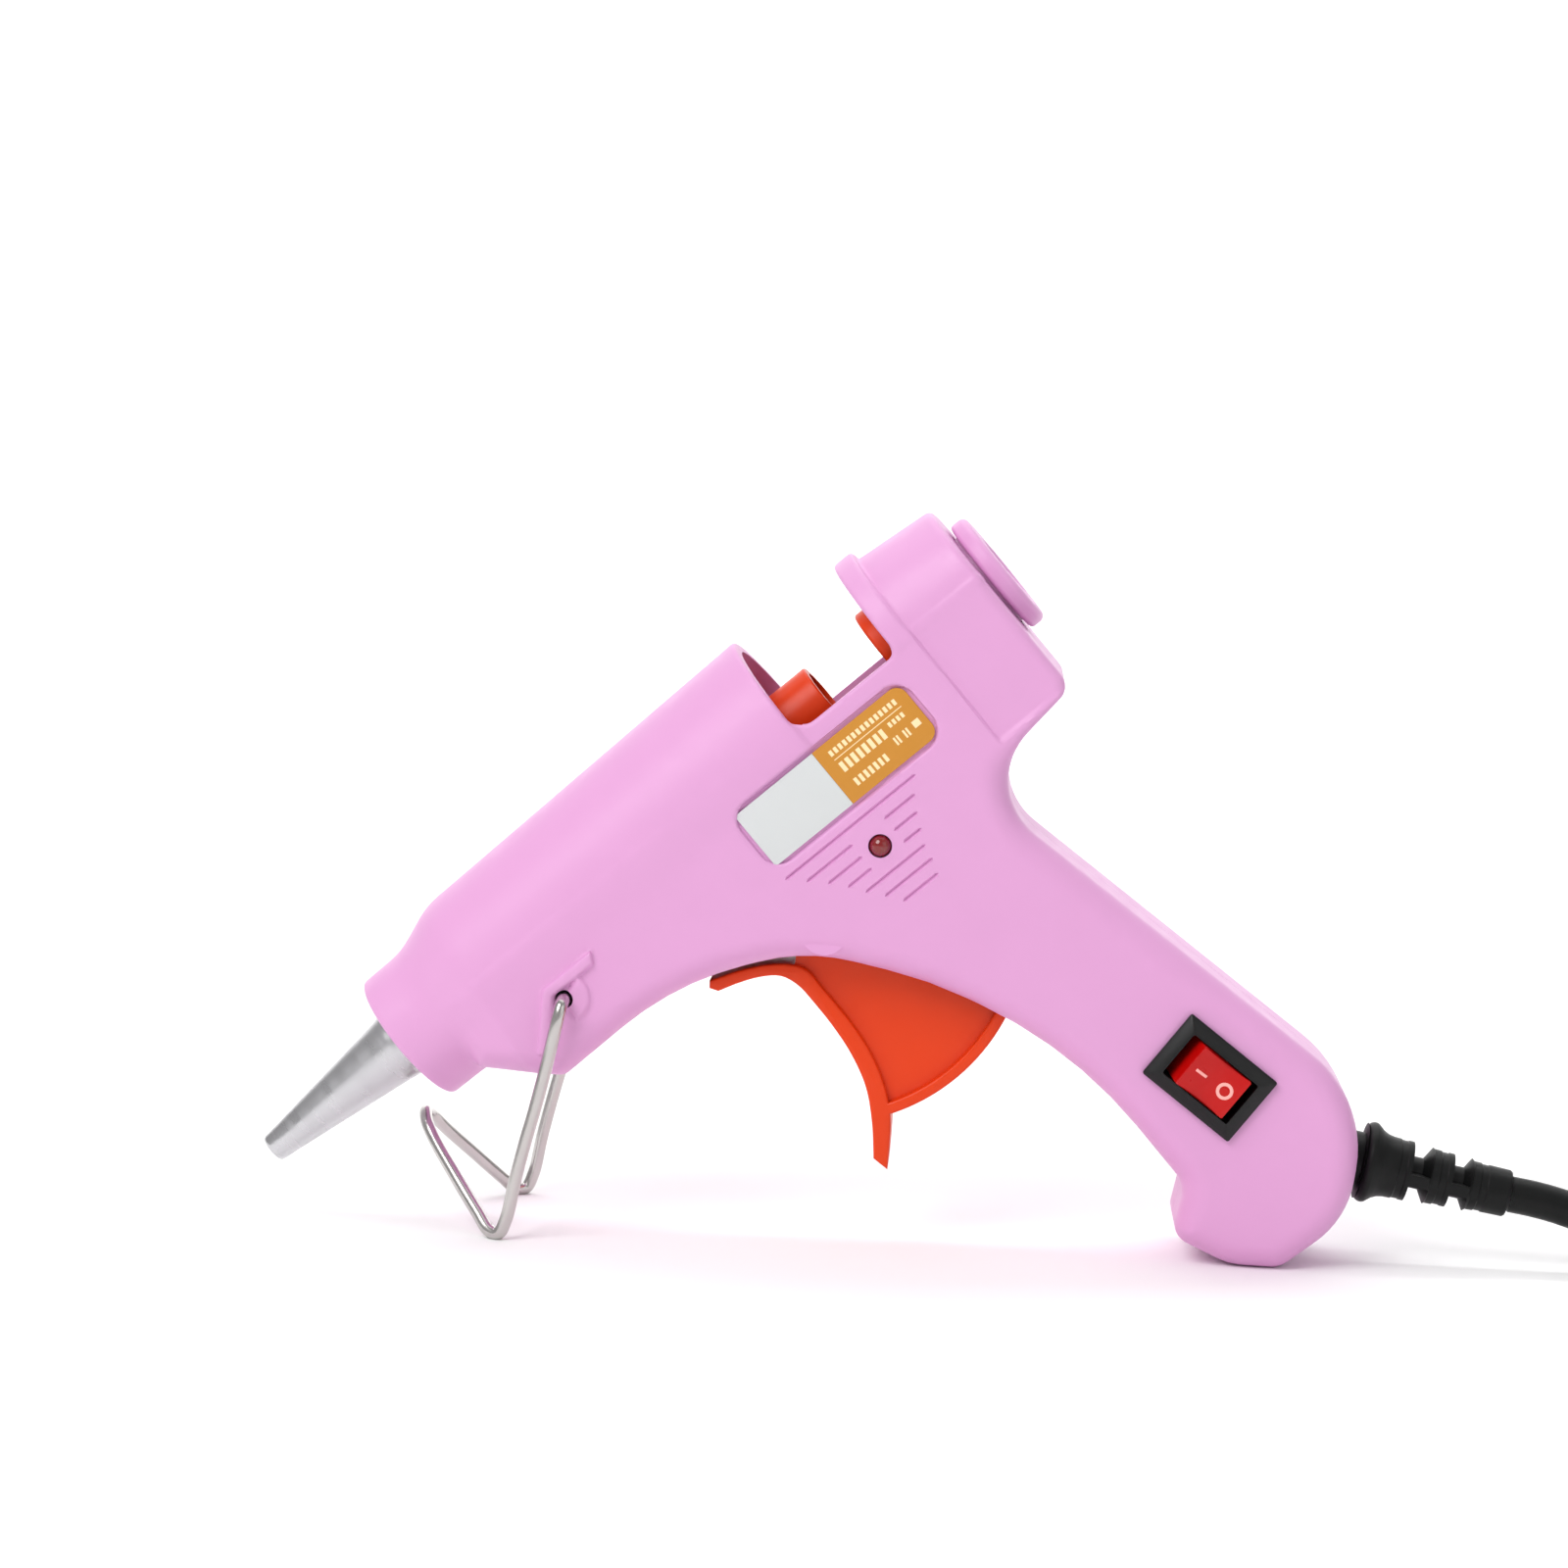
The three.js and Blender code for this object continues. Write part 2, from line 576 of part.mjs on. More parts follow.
function inletSleeve() {
  const over = STICK_BORE + TUBE_WALL + GAP;
  const sleeve = revolve([
    [over, chamber.rear + GAP], [over + 1.4, chamber.rear + GAP],
    [over + 1.4, chamber.rear + 5], [over + 0.4, chamber.rear + 6.6],
    [over + 0.4, sleeveEnd], [STICK_BORE, sleeveEnd], [STICK_BORE, chamber.rear + spigot + GAP],
    [over, chamber.rear + spigot + GAP], [over, chamber.rear + GAP],
  ], 28);
  // The end of the trigger's arm sweeps past a flat under the rear of the sleeve.
  return cut(sleeve, block([sleeveEnd - 7, sleeveEnd + 1], [-4, 4], [-2 * over, 0.6 - over]));
}

const sleeveClamp = () => {
  const inner = STICK_BORE + TUBE_WALL + 1.4 + 2 * GAP;
  const gap = block([chamber.rear, chamber.rear + 4], [-0.8, 0.8], [0, 20]);
  return cut(washer(inner, inner + 0.6, chamber.rear + 1, chamber.rear + 2.4, 28), gap);
};

const gripperPivot = { a: carriage.rear - 4.3, c: sledTop + 0.1 };

function feedCarriage() {
  const tubePiece = rod(tubeRadius, carriage.front, carriage.rear, 32);
  const sled = block([sledFront, carriage.rear], [-sledHalf, sledHalf], [sledBottom, sledTop]);
  const saddle = block([carriage.front, carriage.rear], [-sledHalf, sledHalf],
    [sledTop - 0.5, -STICK_BORE]);
  const wings = block([carriage.front - 1.5, carriage.rear - 1.5], [-sledHalf - 4.7, sledHalf + 4.7],
    [sledBottom, sledBottom + 1.2]);
  return cut(
    join(tubePiece, sled, saddle, wings),
    rod(STICK_BORE, carriage.front - 1, carriage.rear + 1, 32),
    block([armTip.a - 2.2, armTip.a + 2.2], [-2.4, 2.4], [-20, -2]),
    block([gripperPivot.a - 7, gripperPivot.a + 1.9], [-2.2, 2.2], [sledBottom + 1, -2]),
    bar(gripperPivot.a, gripperPivot.c, 1, -5, 5, 12),
  );
}

// A small toothed plate that bites the stick when the carriage moves forward.
function stickGripper() {
  const { a, c } = gripperPivot;
  const outline = [
    ...arc(a, c, 1.5, -90, 90, 5), [a - 5.3, c + 1.6], [a - 5.7, c + 2.05], [a - 5.9, c + 1.2],
    [a - 5.6, c + 0.2],
  ];
  return cut(prism(outline, -1.9, 1.9), bar(a, c, 1, -3, 3, 12));
}

const inletBush = () => washer(STICK_BORE + 0.5, bushOuter, windowEnd - 2, rear - 4.3, 32);

// The collar round the inlet: its rim outside the rear block, and a neck inside the wall.
function inletCollar() {
  const turned = revolve([
    [0, rear - WALL - 0.8], [8.4, rear - WALL - 0.8], [8.4, rear - WALL - GAP], [7.2, rear - WALL - GAP],
    [7.2, rear + 0.5], [8.2, rear + 0.5], [8.9, rear + 1.2], [8.9, rear + 2.2], [8.2, rear + 3], [0, rear + 3],
  ], 32, collarCentre);
  return cut(turned, rod(STICK_BORE + 0.7, rear - 6, rear + 6, 32));
}

// ---------------------------------------------------------------- trigger

function trigger() {
  const face = [
    [62.9, -20.7], [63.6, -21.8], [66.5, -22.7], [69.3, -23.9], [71.6, -25.6], [72.6, -28],
    [72.8, -31.7], [72.7, -36], [72.2, -40.2], [70.9, -44.8], [68.4, -49.2], [65.4, -53.2],
    [65.9, -55.6],
  ];
  const back = [
    [68.3, -53.2], [71, -50.1], [73.1, -46.1], [74.5, -41.3], [75, -36.5], [75, -30.5],
    [74.9, -27], [73.6, -25.1], [71.2, -23.2], [67.5, -21.3], [63.6, -19.9],
  ];
  const { a, c } = pivot;
  const wide = [-TRIGGER_HALF, TRIGGER_HALF];
  const rimInside = TRIGGER_REACH - 1.6;
  const rim = [...arc(a, c, TRIGGER_REACH, -112, -57, 10), ...arc(a, c, rimInside, -57, -112, 10)];
  const web = [
    ...arc(a, c, rimInside + 0.5, -110, -57, 10), [a + 3.4, c - 2], [a + 3.4, c + 1],
    [a - 3, c + 2], [74, -25.6], [74.3, -36],
  ];
  const arm = [
    [a - 2.6, c], [armTip.a - 1.3, armTip.c], [armTip.a + 1.1, armTip.c], [a + 2.6, c],
  ];
  return cut(
    join(
      prism([...face, ...back], ...wide),
      prism(rim, ...wide),
      prism(web, -TRIGGER_HALF + 1.4, TRIGGER_HALF - 1.4),
      bar(a, c, PIN_RADIUS + 2, ...wide, 20),
      prism(arm, -2.1, 2.1),
      bar(armTip.a, armTip.c, 1.8, -2.1, 2.1, 16),
    ),
    bar(a, c, PIN_RADIUS + GAP, -10, 10, 20),
  );
}

const triggerPin = () => bar(pivot.a, pivot.c, PIN_RADIUS - 0.2, -11.1, 11.1, 20);

function returnSpring() {
  const from = carriage.rear + GAP + 0.4;
  const to = springEnd - GAP - 0.4;
  const turns = 5;
  const points = Array.from({ length: turns * 8 + 1 }, (_, i) => {
    const angle = (i / 8) * 2 * Math.PI;
    const a = from + ((to - from) * i) / (turns * 8);
    return V3(a, 1.7 * Math.cos(angle), sledBottom + 1.6 + 1.7 * Math.sin(angle));
  });
  return tube(points, 0.3, 6, turns * 8);
}

// ---------------------------------------------------------------- stand

// One wire: in through a side hole, down the leg, round the foot loop and back.
function wireStand() {
  const half = [
    V3(stand.a, -11, stand.c), V3(stand.a, -12.6, stand.c), V3(stand.a, -14.2, stand.c),
    V3(stand.a - 0.4, -15.3, stand.c - 0.3), V3(stand.a - 1.6, -STAND_HALF, stand.c - 1.2),
    V3(stand.a - 6, -STAND_HALF, stand.c - 4.5), V3(stand.a - 11, -STAND_HALF, stand.c - 8.1),
    V3(stand.a - 16, -STAND_HALF, stand.c - 11.5), V3(stand.a - 20.5, -STAND_HALF, stand.c - 14.7),
    V3(stand.a - 24.7, -STAND_HALF, stand.c - 17.9), V3(stand.a - 27, -STAND_HALF + 0.3, stand.c - 18.9),
    V3(stand.a - 28, -STAND_HALF + 1.2, stand.c - 17.8), V3(stand.a - 28.1, -STAND_HALF + 3, stand.c - 15.3),
    V3(stand.a - 28.1, -8.9, stand.c - 9.6), V3(stand.a - 28, -4.9, stand.c - 4.1),
    V3(stand.a - 27.7, -2.8, stand.c - 1.6),
  ];
  const apex = V3(stand.a - 27.4, 0, stand.c - 0.5);
  const other = half.map((point) => V3(point.x, -point.y, point.z)).reverse();
  return tube([...half, apex, ...other], STAND_WIRE, 6, 70);
}

// ---------------------------------------------------------------- electrics

function switchBody() {
  const x = SWITCH.length / 2;
  const y = SWITCH.width / 2;
  const lip = (z, inset) => [[-x + inset, -y + inset], [x - inset, -y + inset],
    [x - inset, y - inset], [-x + inset, y - inset]].map(([px, py]) => V3(px, py, z));
  const bezel = loft([lip(GAP, 0), lip(SWITCH.lip - 0.7, 0), lip(SWITCH.lip + GAP, 1)],
    (point) => V2(point.x, point.y)).transform(switchFrame.elements);
  return cut(
    join(bezel, sideBox(switchFrame, [-6.3, 6.3], [-4.1, 4.1], [-SWITCH.depth, 0.8])),
    sideBox(switchFrame, [-5.7, 5.7], [-3.5, 3.5], [-SWITCH.depth + 1.5, 5]),
  );
}

const rockerPivot = -0.8; // below the side face

// Two faces that meet in a shallow valley; the end nearer the barrel stands proud at rest.
function switchRocker() {
  const tilt = -radians(SWITCH.tilt);
  const edge = 5.35;
  const rise = radians(40);
  const bottom = arc(0, 0, edge, 205, 335, 8);
  const profile = [[edge * Math.cos(rise), edge * Math.sin(rise)], [0, 2.3],
    [-edge * Math.cos(rise), edge * Math.sin(rise)], ...bottom];
  const turned = profile.map(([x, z]) => [
    x * Math.cos(tilt) - z * Math.sin(tilt), x * Math.sin(tilt) + z * Math.cos(tilt) + rockerPivot,
  ]);
  const shape = new THREE.Shape(turned.map(([x, z]) => V2(x, z)));
  const extruded = new THREE.ExtrudeGeometry(shape, { depth: 6.4, bevelEnabled: false });
  extruded.rotateX(Math.PI / 2);
  extruded.translate(0, 3.2, 0);
  return solid(extruded.applyMatrix4(switchFrame));
}

const terminal = (x) => sideBox(switchFrame, [x - 0.4, x + 0.4], [-2.4, 2.4],
  [-SWITCH.depth - 6, -SWITCH.depth - GAP]);

function indicatorLed() {
  const face = halfAt(ledAt.a, ledAt.c);
  const profile = [[0, 0], [LED_RADIUS, 0], ...arc(0, 4.5, LED_RADIUS, 0, 90, 5)];
  const lathe = new THREE.LatheGeometry(profile.map(([r, x]) => V2(r, x)), 20);
  lathe.rotateZ(Math.PI);
  lathe.translate(ledAt.a, -face + 5.2, ledAt.c);
  return solid(lathe);
}

const lead = (points) => tube(points.map((point) => V3(...point)), 0.8, 6, 20);

// ---------------------------------------------------------------- mains cord, on the floor

// Way along the floor from the strain relief, and how high the cord is as a share of the
// strain relief's own height above the floor.
const cordRoute = [
  [0.4, 0.99], [3.5, 0.93], [7, 0.83], [10.5, 0.7], [14, 0.54], [17.5, 0.37], [20.4, 0.24],
];

// ---------------------------------------------------------------- assembly

const glueGun = new THREE.Group();
const gun = new THREE.Group();
const cord = new THREE.Group();
glueGun.add(gun, cord);

function place(name, piece, finish, group = gun) {
  const mesh = new THREE.Mesh(geometryOf(piece), new THREE.MeshStandardMaterial(finish));
  mesh.name = name;
  group.add(mesh);
}

const halves = housingHalves();
place('housing_left', halves.left, PINK);
place('housing_right', halves.right, PINK);
place('inlet_collar', inletCollar(), PINK);
place('nozzle', nozzle(), ALUMINIUM);
place('heating_chamber', heatingChamber(), ALUMINIUM);
place('ptc_heater', heater(), BROWN);
place('heater_clip', heaterClip(), STEEL);
place('inlet_sleeve', inletSleeve(), SILICONE);
place('sleeve_clamp', sleeveClamp(), STEEL);
place('feed_carriage', feedCarriage(), ORANGE);
place('stick_gripper', stickGripper(), STEEL);
place('gripper_pin', bar(gripperPivot.a, gripperPivot.c, 0.7, -3.3, 3.3, 12), STEEL);
place('inlet_bush', inletBush(), ORANGE);
place('trigger', trigger(), ORANGE);
place('trigger_pin', triggerPin(), STEEL);
place('return_spring', returnSpring(), STEEL);
place('wire_stand', wireStand(), STEEL);
place('switch_body', switchBody(), BLACK);
place('switch_rocker', switchRocker(), RED);
place('switch_terminal_live', terminal(3.2), BRASS);
place('switch_terminal_load', terminal(-3.2), BRASS);
place('indicator_led', indicatorLed(), RED);
place('led_resistor', bar(99.5, -27, 1.1, -10, -7.2, 12), SILICONE);
place('strain_relief', reliefSolid(), BLACK);

const blankEnd = -LABEL.length / 2 + LABEL.blank;
const labelLayer = [-LABEL.recess + GAP, -LABEL.recess + GAP + LABEL.thick];
const label = sidePrism(labelFrame, labelOutline(0, 1.6), ...labelLayer);
place('label_blank', label.intersect(sideBox(labelFrame, [-30, blankEnd - 0.05], [-9, 9], [-9, 9])), GREY);
place('label_rating', label.intersect(sideBox(labelFrame, [blankEnd + 0.25, 30], [-9, 9], [-9, 9])), GOLD);

const screw = (a, c) => {
  const face = halfAt(a, c);
  return join(bar(a, c, SCREW_SHANK, -face + WALL + 2, face - 3.5, 10),
    bar(a, c, SCREW_HEAD, face - 4.2, face - 2.4, 16));
};
screwPlaces.forEach(([a, c], i) => place(`housing_screw_${i + 1}`, screw(a, c), STEEL));

const inward = 9.6; // from the exit to the inner end of the strain relief, and a gap
const innerA = exitA - inward * Math.cos(exitWay);
const innerC = exitC - inward * Math.sin(exitWay);
const heaterEnd = heaterFrom + HEATER.length + 1.4;
const heaterMid = heaterTop - HEATER.thickness / 2;
const terminalEnd = (x) => {
  const end = V3(x, 0, -SWITCH.depth - 7.2).applyMatrix4(switchFrame);
  return [end.x, end.y, end.z];
};
// A bend of a lead in the lower part of the handle, which moves with the butt.
const leadBend = (a, y, c) => {
  const [movedA, movedC] = butt(a, c);
  return [movedA, y, movedC];
};
const [liveA, liveY, liveC] = terminalEnd(3.2);
const [loadA, loadY, loadC] = terminalEnd(-3.2);
place('lead_live', lead([[innerA, -1.2, innerC], [innerA - 1.5, -0.6, innerC + 3],
  [liveA + 1, liveY + 1.5, liveC - 6], [liveA, liveY + 0.6, liveC]]), BROWN);
place('lead_load', lead([[loadA, loadY + 0.4, loadC], [loadA - 2.5, loadY + 2, loadC + 5],
  leadBend(99.9, 6.6, -62), leadBend(98.6, 6.9, -57), [96.4, 6.9, -45], [90.6, 6.9, -33], [86.6, 6.9, -26], [85, 6.9, -17],
  [72, 5.4, -12.2], [heaterEnd + 4, 4.2, heaterMid - 1], [heaterEnd, 2.4, heaterMid]]), BROWN);
place('lead_neutral', lead([[innerA, 1.2, innerC], [innerA - 5, 5.5, innerC + 6],
  leadBend(101, 7.8, -74), leadBend(100.6, 8.5, -60), [98, 8.9, -45], [92.6, 9.1, -33],
  [88.8, 9.2, -25], [84, 9.2, -15.4], [72, 7, -15], [heaterEnd + 4, 0, heaterMid - 4.5],
  [heaterEnd, -2.4, heaterMid]]), BLUE);

// The angle between the floor and the barrel at which the stand and the butt both touch.
function standingTilt(feet) {
  const lowest = (points, tilt) => Math.min(
    ...points.map(({ x, z }) => x * Math.sin(tilt) + z * Math.cos(tilt)));
  let low = radians(25);
  let high = radians(60);
  for (let i = 0; i < 40; i++) {
    const middle = (low + high) / 2;
    const [standLow, buttLow] = feet.map((points) => lowest(points, middle));
    if (buttLow < standLow) low = middle;
    else high = middle;
  }
  return (low + high) / 2;
}

const cornersOf = (name) => {
  const place = gun.getObjectByName(name).geometry.attributes.position;
  return Array.from({ length: place.count }, (_, i) => V3().fromBufferAttribute(place, i));
};

// Stand the gun on the floor, with the middle of its box over the origin.
gun.rotation.y = -standingTilt([cornersOf('wire_stand'), cornersOf('housing_left')]);
gun.updateMatrixWorld(true);
const box = new THREE.Box3().setFromObject(gun, true);
gun.position.set(-(box.min.x + box.max.x) / 2, -(box.min.y + box.max.y) / 2, -box.min.z);
gun.updateMatrixWorld(true);

const reliefEnd = V3(
  exitA + RELIEF_LENGTH * Math.cos(exitWay), 0, exitC + RELIEF_LENGTH * Math.sin(exitWay),
).applyMatrix4(gun.matrixWorld);

// On its way to the hank the cord drifts to the label side.
const floorHeight = CORD_RADIUS + 0.02;
const drift = (along) => -HANK.side * THREE.MathUtils.smoothstep(along, 6, HANK.clear);
const routePoints = cordRoute.map(([along, share]) =>
  V3(reliefEnd.x + along, drift(along), floorHeight + (reliefEnd.z - floorHeight) * share));
place('power_cord', tube(routePoints, CORD_RADIUS, 10, 10), BLACK, cord);

// The stored length is folded into a hank in line with the gun, with the plug lying on it.
const hankX = reliefEnd.x + HANK.clear;
const hankY = HANK.outer - CORD_RADIUS - 0.1 - HANK.side;
const hankTop = HANK.layers * 2 * CORD_RADIUS + 0.04;
const roundEnded = (radius) => [
  ...arc(hankX, hankY, radius, 90, 270, 16), ...arc(hankX + HANK.run, hankY, radius, -90, 90, 16),
].map(([x, y]) => V2(x, y));
const hankShape = new THREE.Shape(roundEnded(HANK.outer));
hankShape.holes.push(new THREE.Path(roundEnded(HANK.inner)));
const hank = new THREE.ExtrudeGeometry(hankShape, { depth: hankTop, bevelEnabled: false });
place('power_cord_hank', solid(hank), BLACK, cord);

// The last of the cord lies along the hank, turns back over its end and rises into the plug.
const TAIL = { bend: 15, side: 5 };
const plugZ = hankTop + GAP + PLUG.height / 2;
const tailLow = hankTop + GAP + CORD_RADIUS + 0.06;
const tailFold = arc(hankX, hankY + TAIL.side, TAIL.bend, 90, 270, 9).map(([x, y], i) =>
  V3(x, y, tailLow + (plugZ - tailLow) * THREE.MathUtils.smoothstep(i, 0, 9)));
const tailRun = [HANK.run - 0.5, HANK.run / 2].map((x) =>
  V3(hankX + x, hankY + TAIL.side + TAIL.bend, tailLow));
place('power_cord_tail', tube([...tailRun, ...tailFold], CORD_RADIUS, 10, 24), BLACK, cord);

const plugX = hankX + 0.6;
const plugY = hankY + TAIL.side - TAIL.bend;
const plugRing = (x, halfWidth, halfHeight) => rounded([
  [-halfWidth, -halfHeight, halfHeight * 0.6], [halfWidth, -halfHeight, halfHeight * 0.6],
  [halfWidth, halfHeight, halfHeight * 0.6], [-halfWidth, halfHeight, halfHeight * 0.6],
]).map((point) => V3(plugX + x, plugY + point.x, plugZ + point.y));
const plugHalf = [PLUG.width / 2, PLUG.height / 2];
const pinDepth = 3;
const pinHole = (side, radius, from, to) => {
  const cylinder = new THREE.CylinderGeometry(radius, radius, to - from, 16);
  cylinder.rotateZ(Math.PI / 2);
  cylinder.translate(plugX + (from + to) / 2, plugY + (side * PLUG.spacing) / 2, plugZ);
  return solid(cylinder);
};
const plugBody = loft([plugRing(0, 4, 4), plugRing(8, 5.5, 5), plugRing(17, ...plugHalf),
  plugRing(PLUG.length, ...plugHalf)], (point) => V2(point.y, point.z));
place('plug_body', cut(plugBody, ...[-1, 1].map((side) =>
  pinHole(side, PLUG.pin + GAP, PLUG.length - pinDepth, PLUG.length + 5))), BLACK, cord);
[-1, 1].forEach((side, i) => place(`plug_pin_${i + 1}`,
  pinHole(side, PLUG.pin, PLUG.length - pinDepth + GAP, PLUG.length + PLUG.pinLength), BRASS, cord));

export default glueGun;
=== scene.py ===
"""A mini hot-melt glue gun for 7 mm sticks, standing on its wire stand and its butt.

Pieces are drawn in millimetres in the gun's own axes: a runs along the barrel from the nozzle
towards the stick inlet, y across the gun, negative on the label side, and c square to both,
away from the handle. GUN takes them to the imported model's frame, which is in metres.
"""
import json
import math

import bmesh
import bpy
import numpy as np
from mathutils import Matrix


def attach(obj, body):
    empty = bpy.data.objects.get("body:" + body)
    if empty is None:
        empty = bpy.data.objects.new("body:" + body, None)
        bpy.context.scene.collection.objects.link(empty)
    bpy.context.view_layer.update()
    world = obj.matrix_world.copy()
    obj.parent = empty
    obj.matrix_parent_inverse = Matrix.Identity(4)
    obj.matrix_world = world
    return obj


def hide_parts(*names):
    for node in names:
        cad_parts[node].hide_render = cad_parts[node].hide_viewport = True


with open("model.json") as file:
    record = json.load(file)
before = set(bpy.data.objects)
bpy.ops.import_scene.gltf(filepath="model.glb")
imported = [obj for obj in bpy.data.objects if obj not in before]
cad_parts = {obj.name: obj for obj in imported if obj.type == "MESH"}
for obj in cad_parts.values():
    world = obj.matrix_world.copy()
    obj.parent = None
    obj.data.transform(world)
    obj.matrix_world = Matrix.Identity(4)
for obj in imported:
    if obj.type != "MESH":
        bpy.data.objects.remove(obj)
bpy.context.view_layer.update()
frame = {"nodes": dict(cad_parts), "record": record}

import openvdb
from mathutils import Matrix, Vector

MM = 0.001

# ---- where the gun is

mounts = {mount["name"]: mount for mount in frame["record"]["mounts"]}
along = -Vector(mounts["nozzle_tip"]["axis"])
upward = Vector((-along.z, 0, along.x))
tip = Vector(mounts["nozzle_tip"]["pos_m"])
tip.y = 0
IN_MM = Matrix.Scale(MM, 4)  # for what is drawn in the model's own frame, but in millimetres
GUN = Matrix.Translation(tip) @ Matrix((along, (0, 1, 0), upward)).transposed().to_4x4() @ IN_MM

# ---- driving sizes, mm

FRONT = 25  # the front collar's face
COLLAR = 9.9  # its radius
SHOULDER = 38.25  # where the barrel reaches its full width
RIM = 95.5  # the barrel's open rear rim
RIM_RADIUS = 13.86
WINDOW_END = 112.3  # the stick window runs from the rim to here
REAR = 127.7
INLET_C = -1.7  # c of the inlet collar's middle
WALL = 1.8
EDGE = 3.7  # radius of the body's rounded edge
STICK = 3.9  # radius of everything a glue stick passes through
TUBE = 5.0  # outer radius of the feed carriage
TRIGGER_HALF = 5.6
REACH = 27.7  # from the trigger's pivot to its rear rim
PIVOT = (81, -24)
STAND_AT = (47.7, -8.9)
STAND_HALF = 15.8
WIRE = 0.9  # radius of the stand's wire
LED_AT = (94.3, -19.8)
LED_RADIUS = 1.5
SWITCH_AT = (108.8, -72.3)
SWITCH_WAY = math.radians(-78.6)
EXIT = (116.6, -96.0)  # where the cord leaves the butt
EXIT_WAY = math.radians(-51.9)
RELIEF = 21  # length of the strain relief
CORD_RADIUS = 2.5
LABEL_AT = (95.9, -8.7)
SCREWS = [(43.2, -13.4), (58.2, -13.6), (106, -20), (105.6, -57), (99.6, -91.2), (121.3, -14.4)]

# a, c, corner radius, and shares of the edge radius and of the wall for the edge that follows
BODY = [
    (31.5, -9.05, 0.5), (40.4, -17.25, 2), (60.5, -17, 43), (77.1, -24.7, 26), (87.4, -38.4, 55),
    (96.6, -58.1, 62), (96.6, -82.3, 4), (90.7, -86.7, 2.8), (94.2, -94.7, 10), (99.3, -99.46, 4),
    (110.75, -100, 13), (123.4, -88.76, 17), (109.1, -21.9, 9.5), (127.7, -19.5, 2.5, 0.4),
    (127.7, 0, 0.2, 0, 0), (31.5, 0, 0.2, 0),
]


def half_at(a, c):
    """Half the body's thickness at a point of its side face, which thins towards nozzle and butt."""
    return 12.6 + 0.012 * (a - SHOULDER) + 0.028 * np.minimum(c, 0)


# ---- camera


def added(name, data):
    """A new object of the scene."""
    made = bpy.data.objects.new(name, data)
    bpy.context.scene.collection.objects.link(made)
    return made


AZIMUTH, ELEVATION, ROLL = math.radians(3.2), math.radians(5.7), math.radians(2.36)
DISTANCE = 0.55
target = Vector((-0.01594, 0, 0.06245))


def rolled(vector):
    """A direction turned by ROLL, which leans the view along with the gun."""
    x, y, z = vector
    return Vector((x * math.cos(ROLL) - z * math.sin(ROLL), y, x * math.sin(ROLL) + z * math.cos(ROLL)))


backward = rolled((math.sin(AZIMUTH) * math.cos(ELEVATION), -math.cos(AZIMUTH) * math.cos(ELEVATION),
                   math.sin(ELEVATION)))
camera_up = rolled((-math.sin(AZIMUTH) * math.sin(ELEVATION), math.cos(AZIMUTH) * math.sin(ELEVATION),
                    math.cos(ELEVATION)))
camera_data = bpy.data.cameras.new("camera")
camera_data.lens = 91.6
camera_data.sensor_width = 36
camera_data.clip_start = 0.01
camera = added("camera", camera_data)
right = camera_up.cross(backward)
camera.matrix_world = Matrix.Translation(target + backward * DISTANCE) @ Matrix(
    (right, camera_up, backward)).transposed().to_4x4()
bpy.context.scene.camera = camera

# ---- materials

MOTTLE_WIDTH = 9  # how wide the clouds in a colour are, mm
WEAR_WIDTH = 2.5  # and the patches of a surface that shine more or less


def srgb(r, g, b):
    """A colour given as 0 to 255, as the linear values a shader takes."""
    return [((v / 255 + 0.055) / 1.055) ** 2.4 if v > 10 else v / 255 / 12.92 for v in (r, g, b)] + [1]


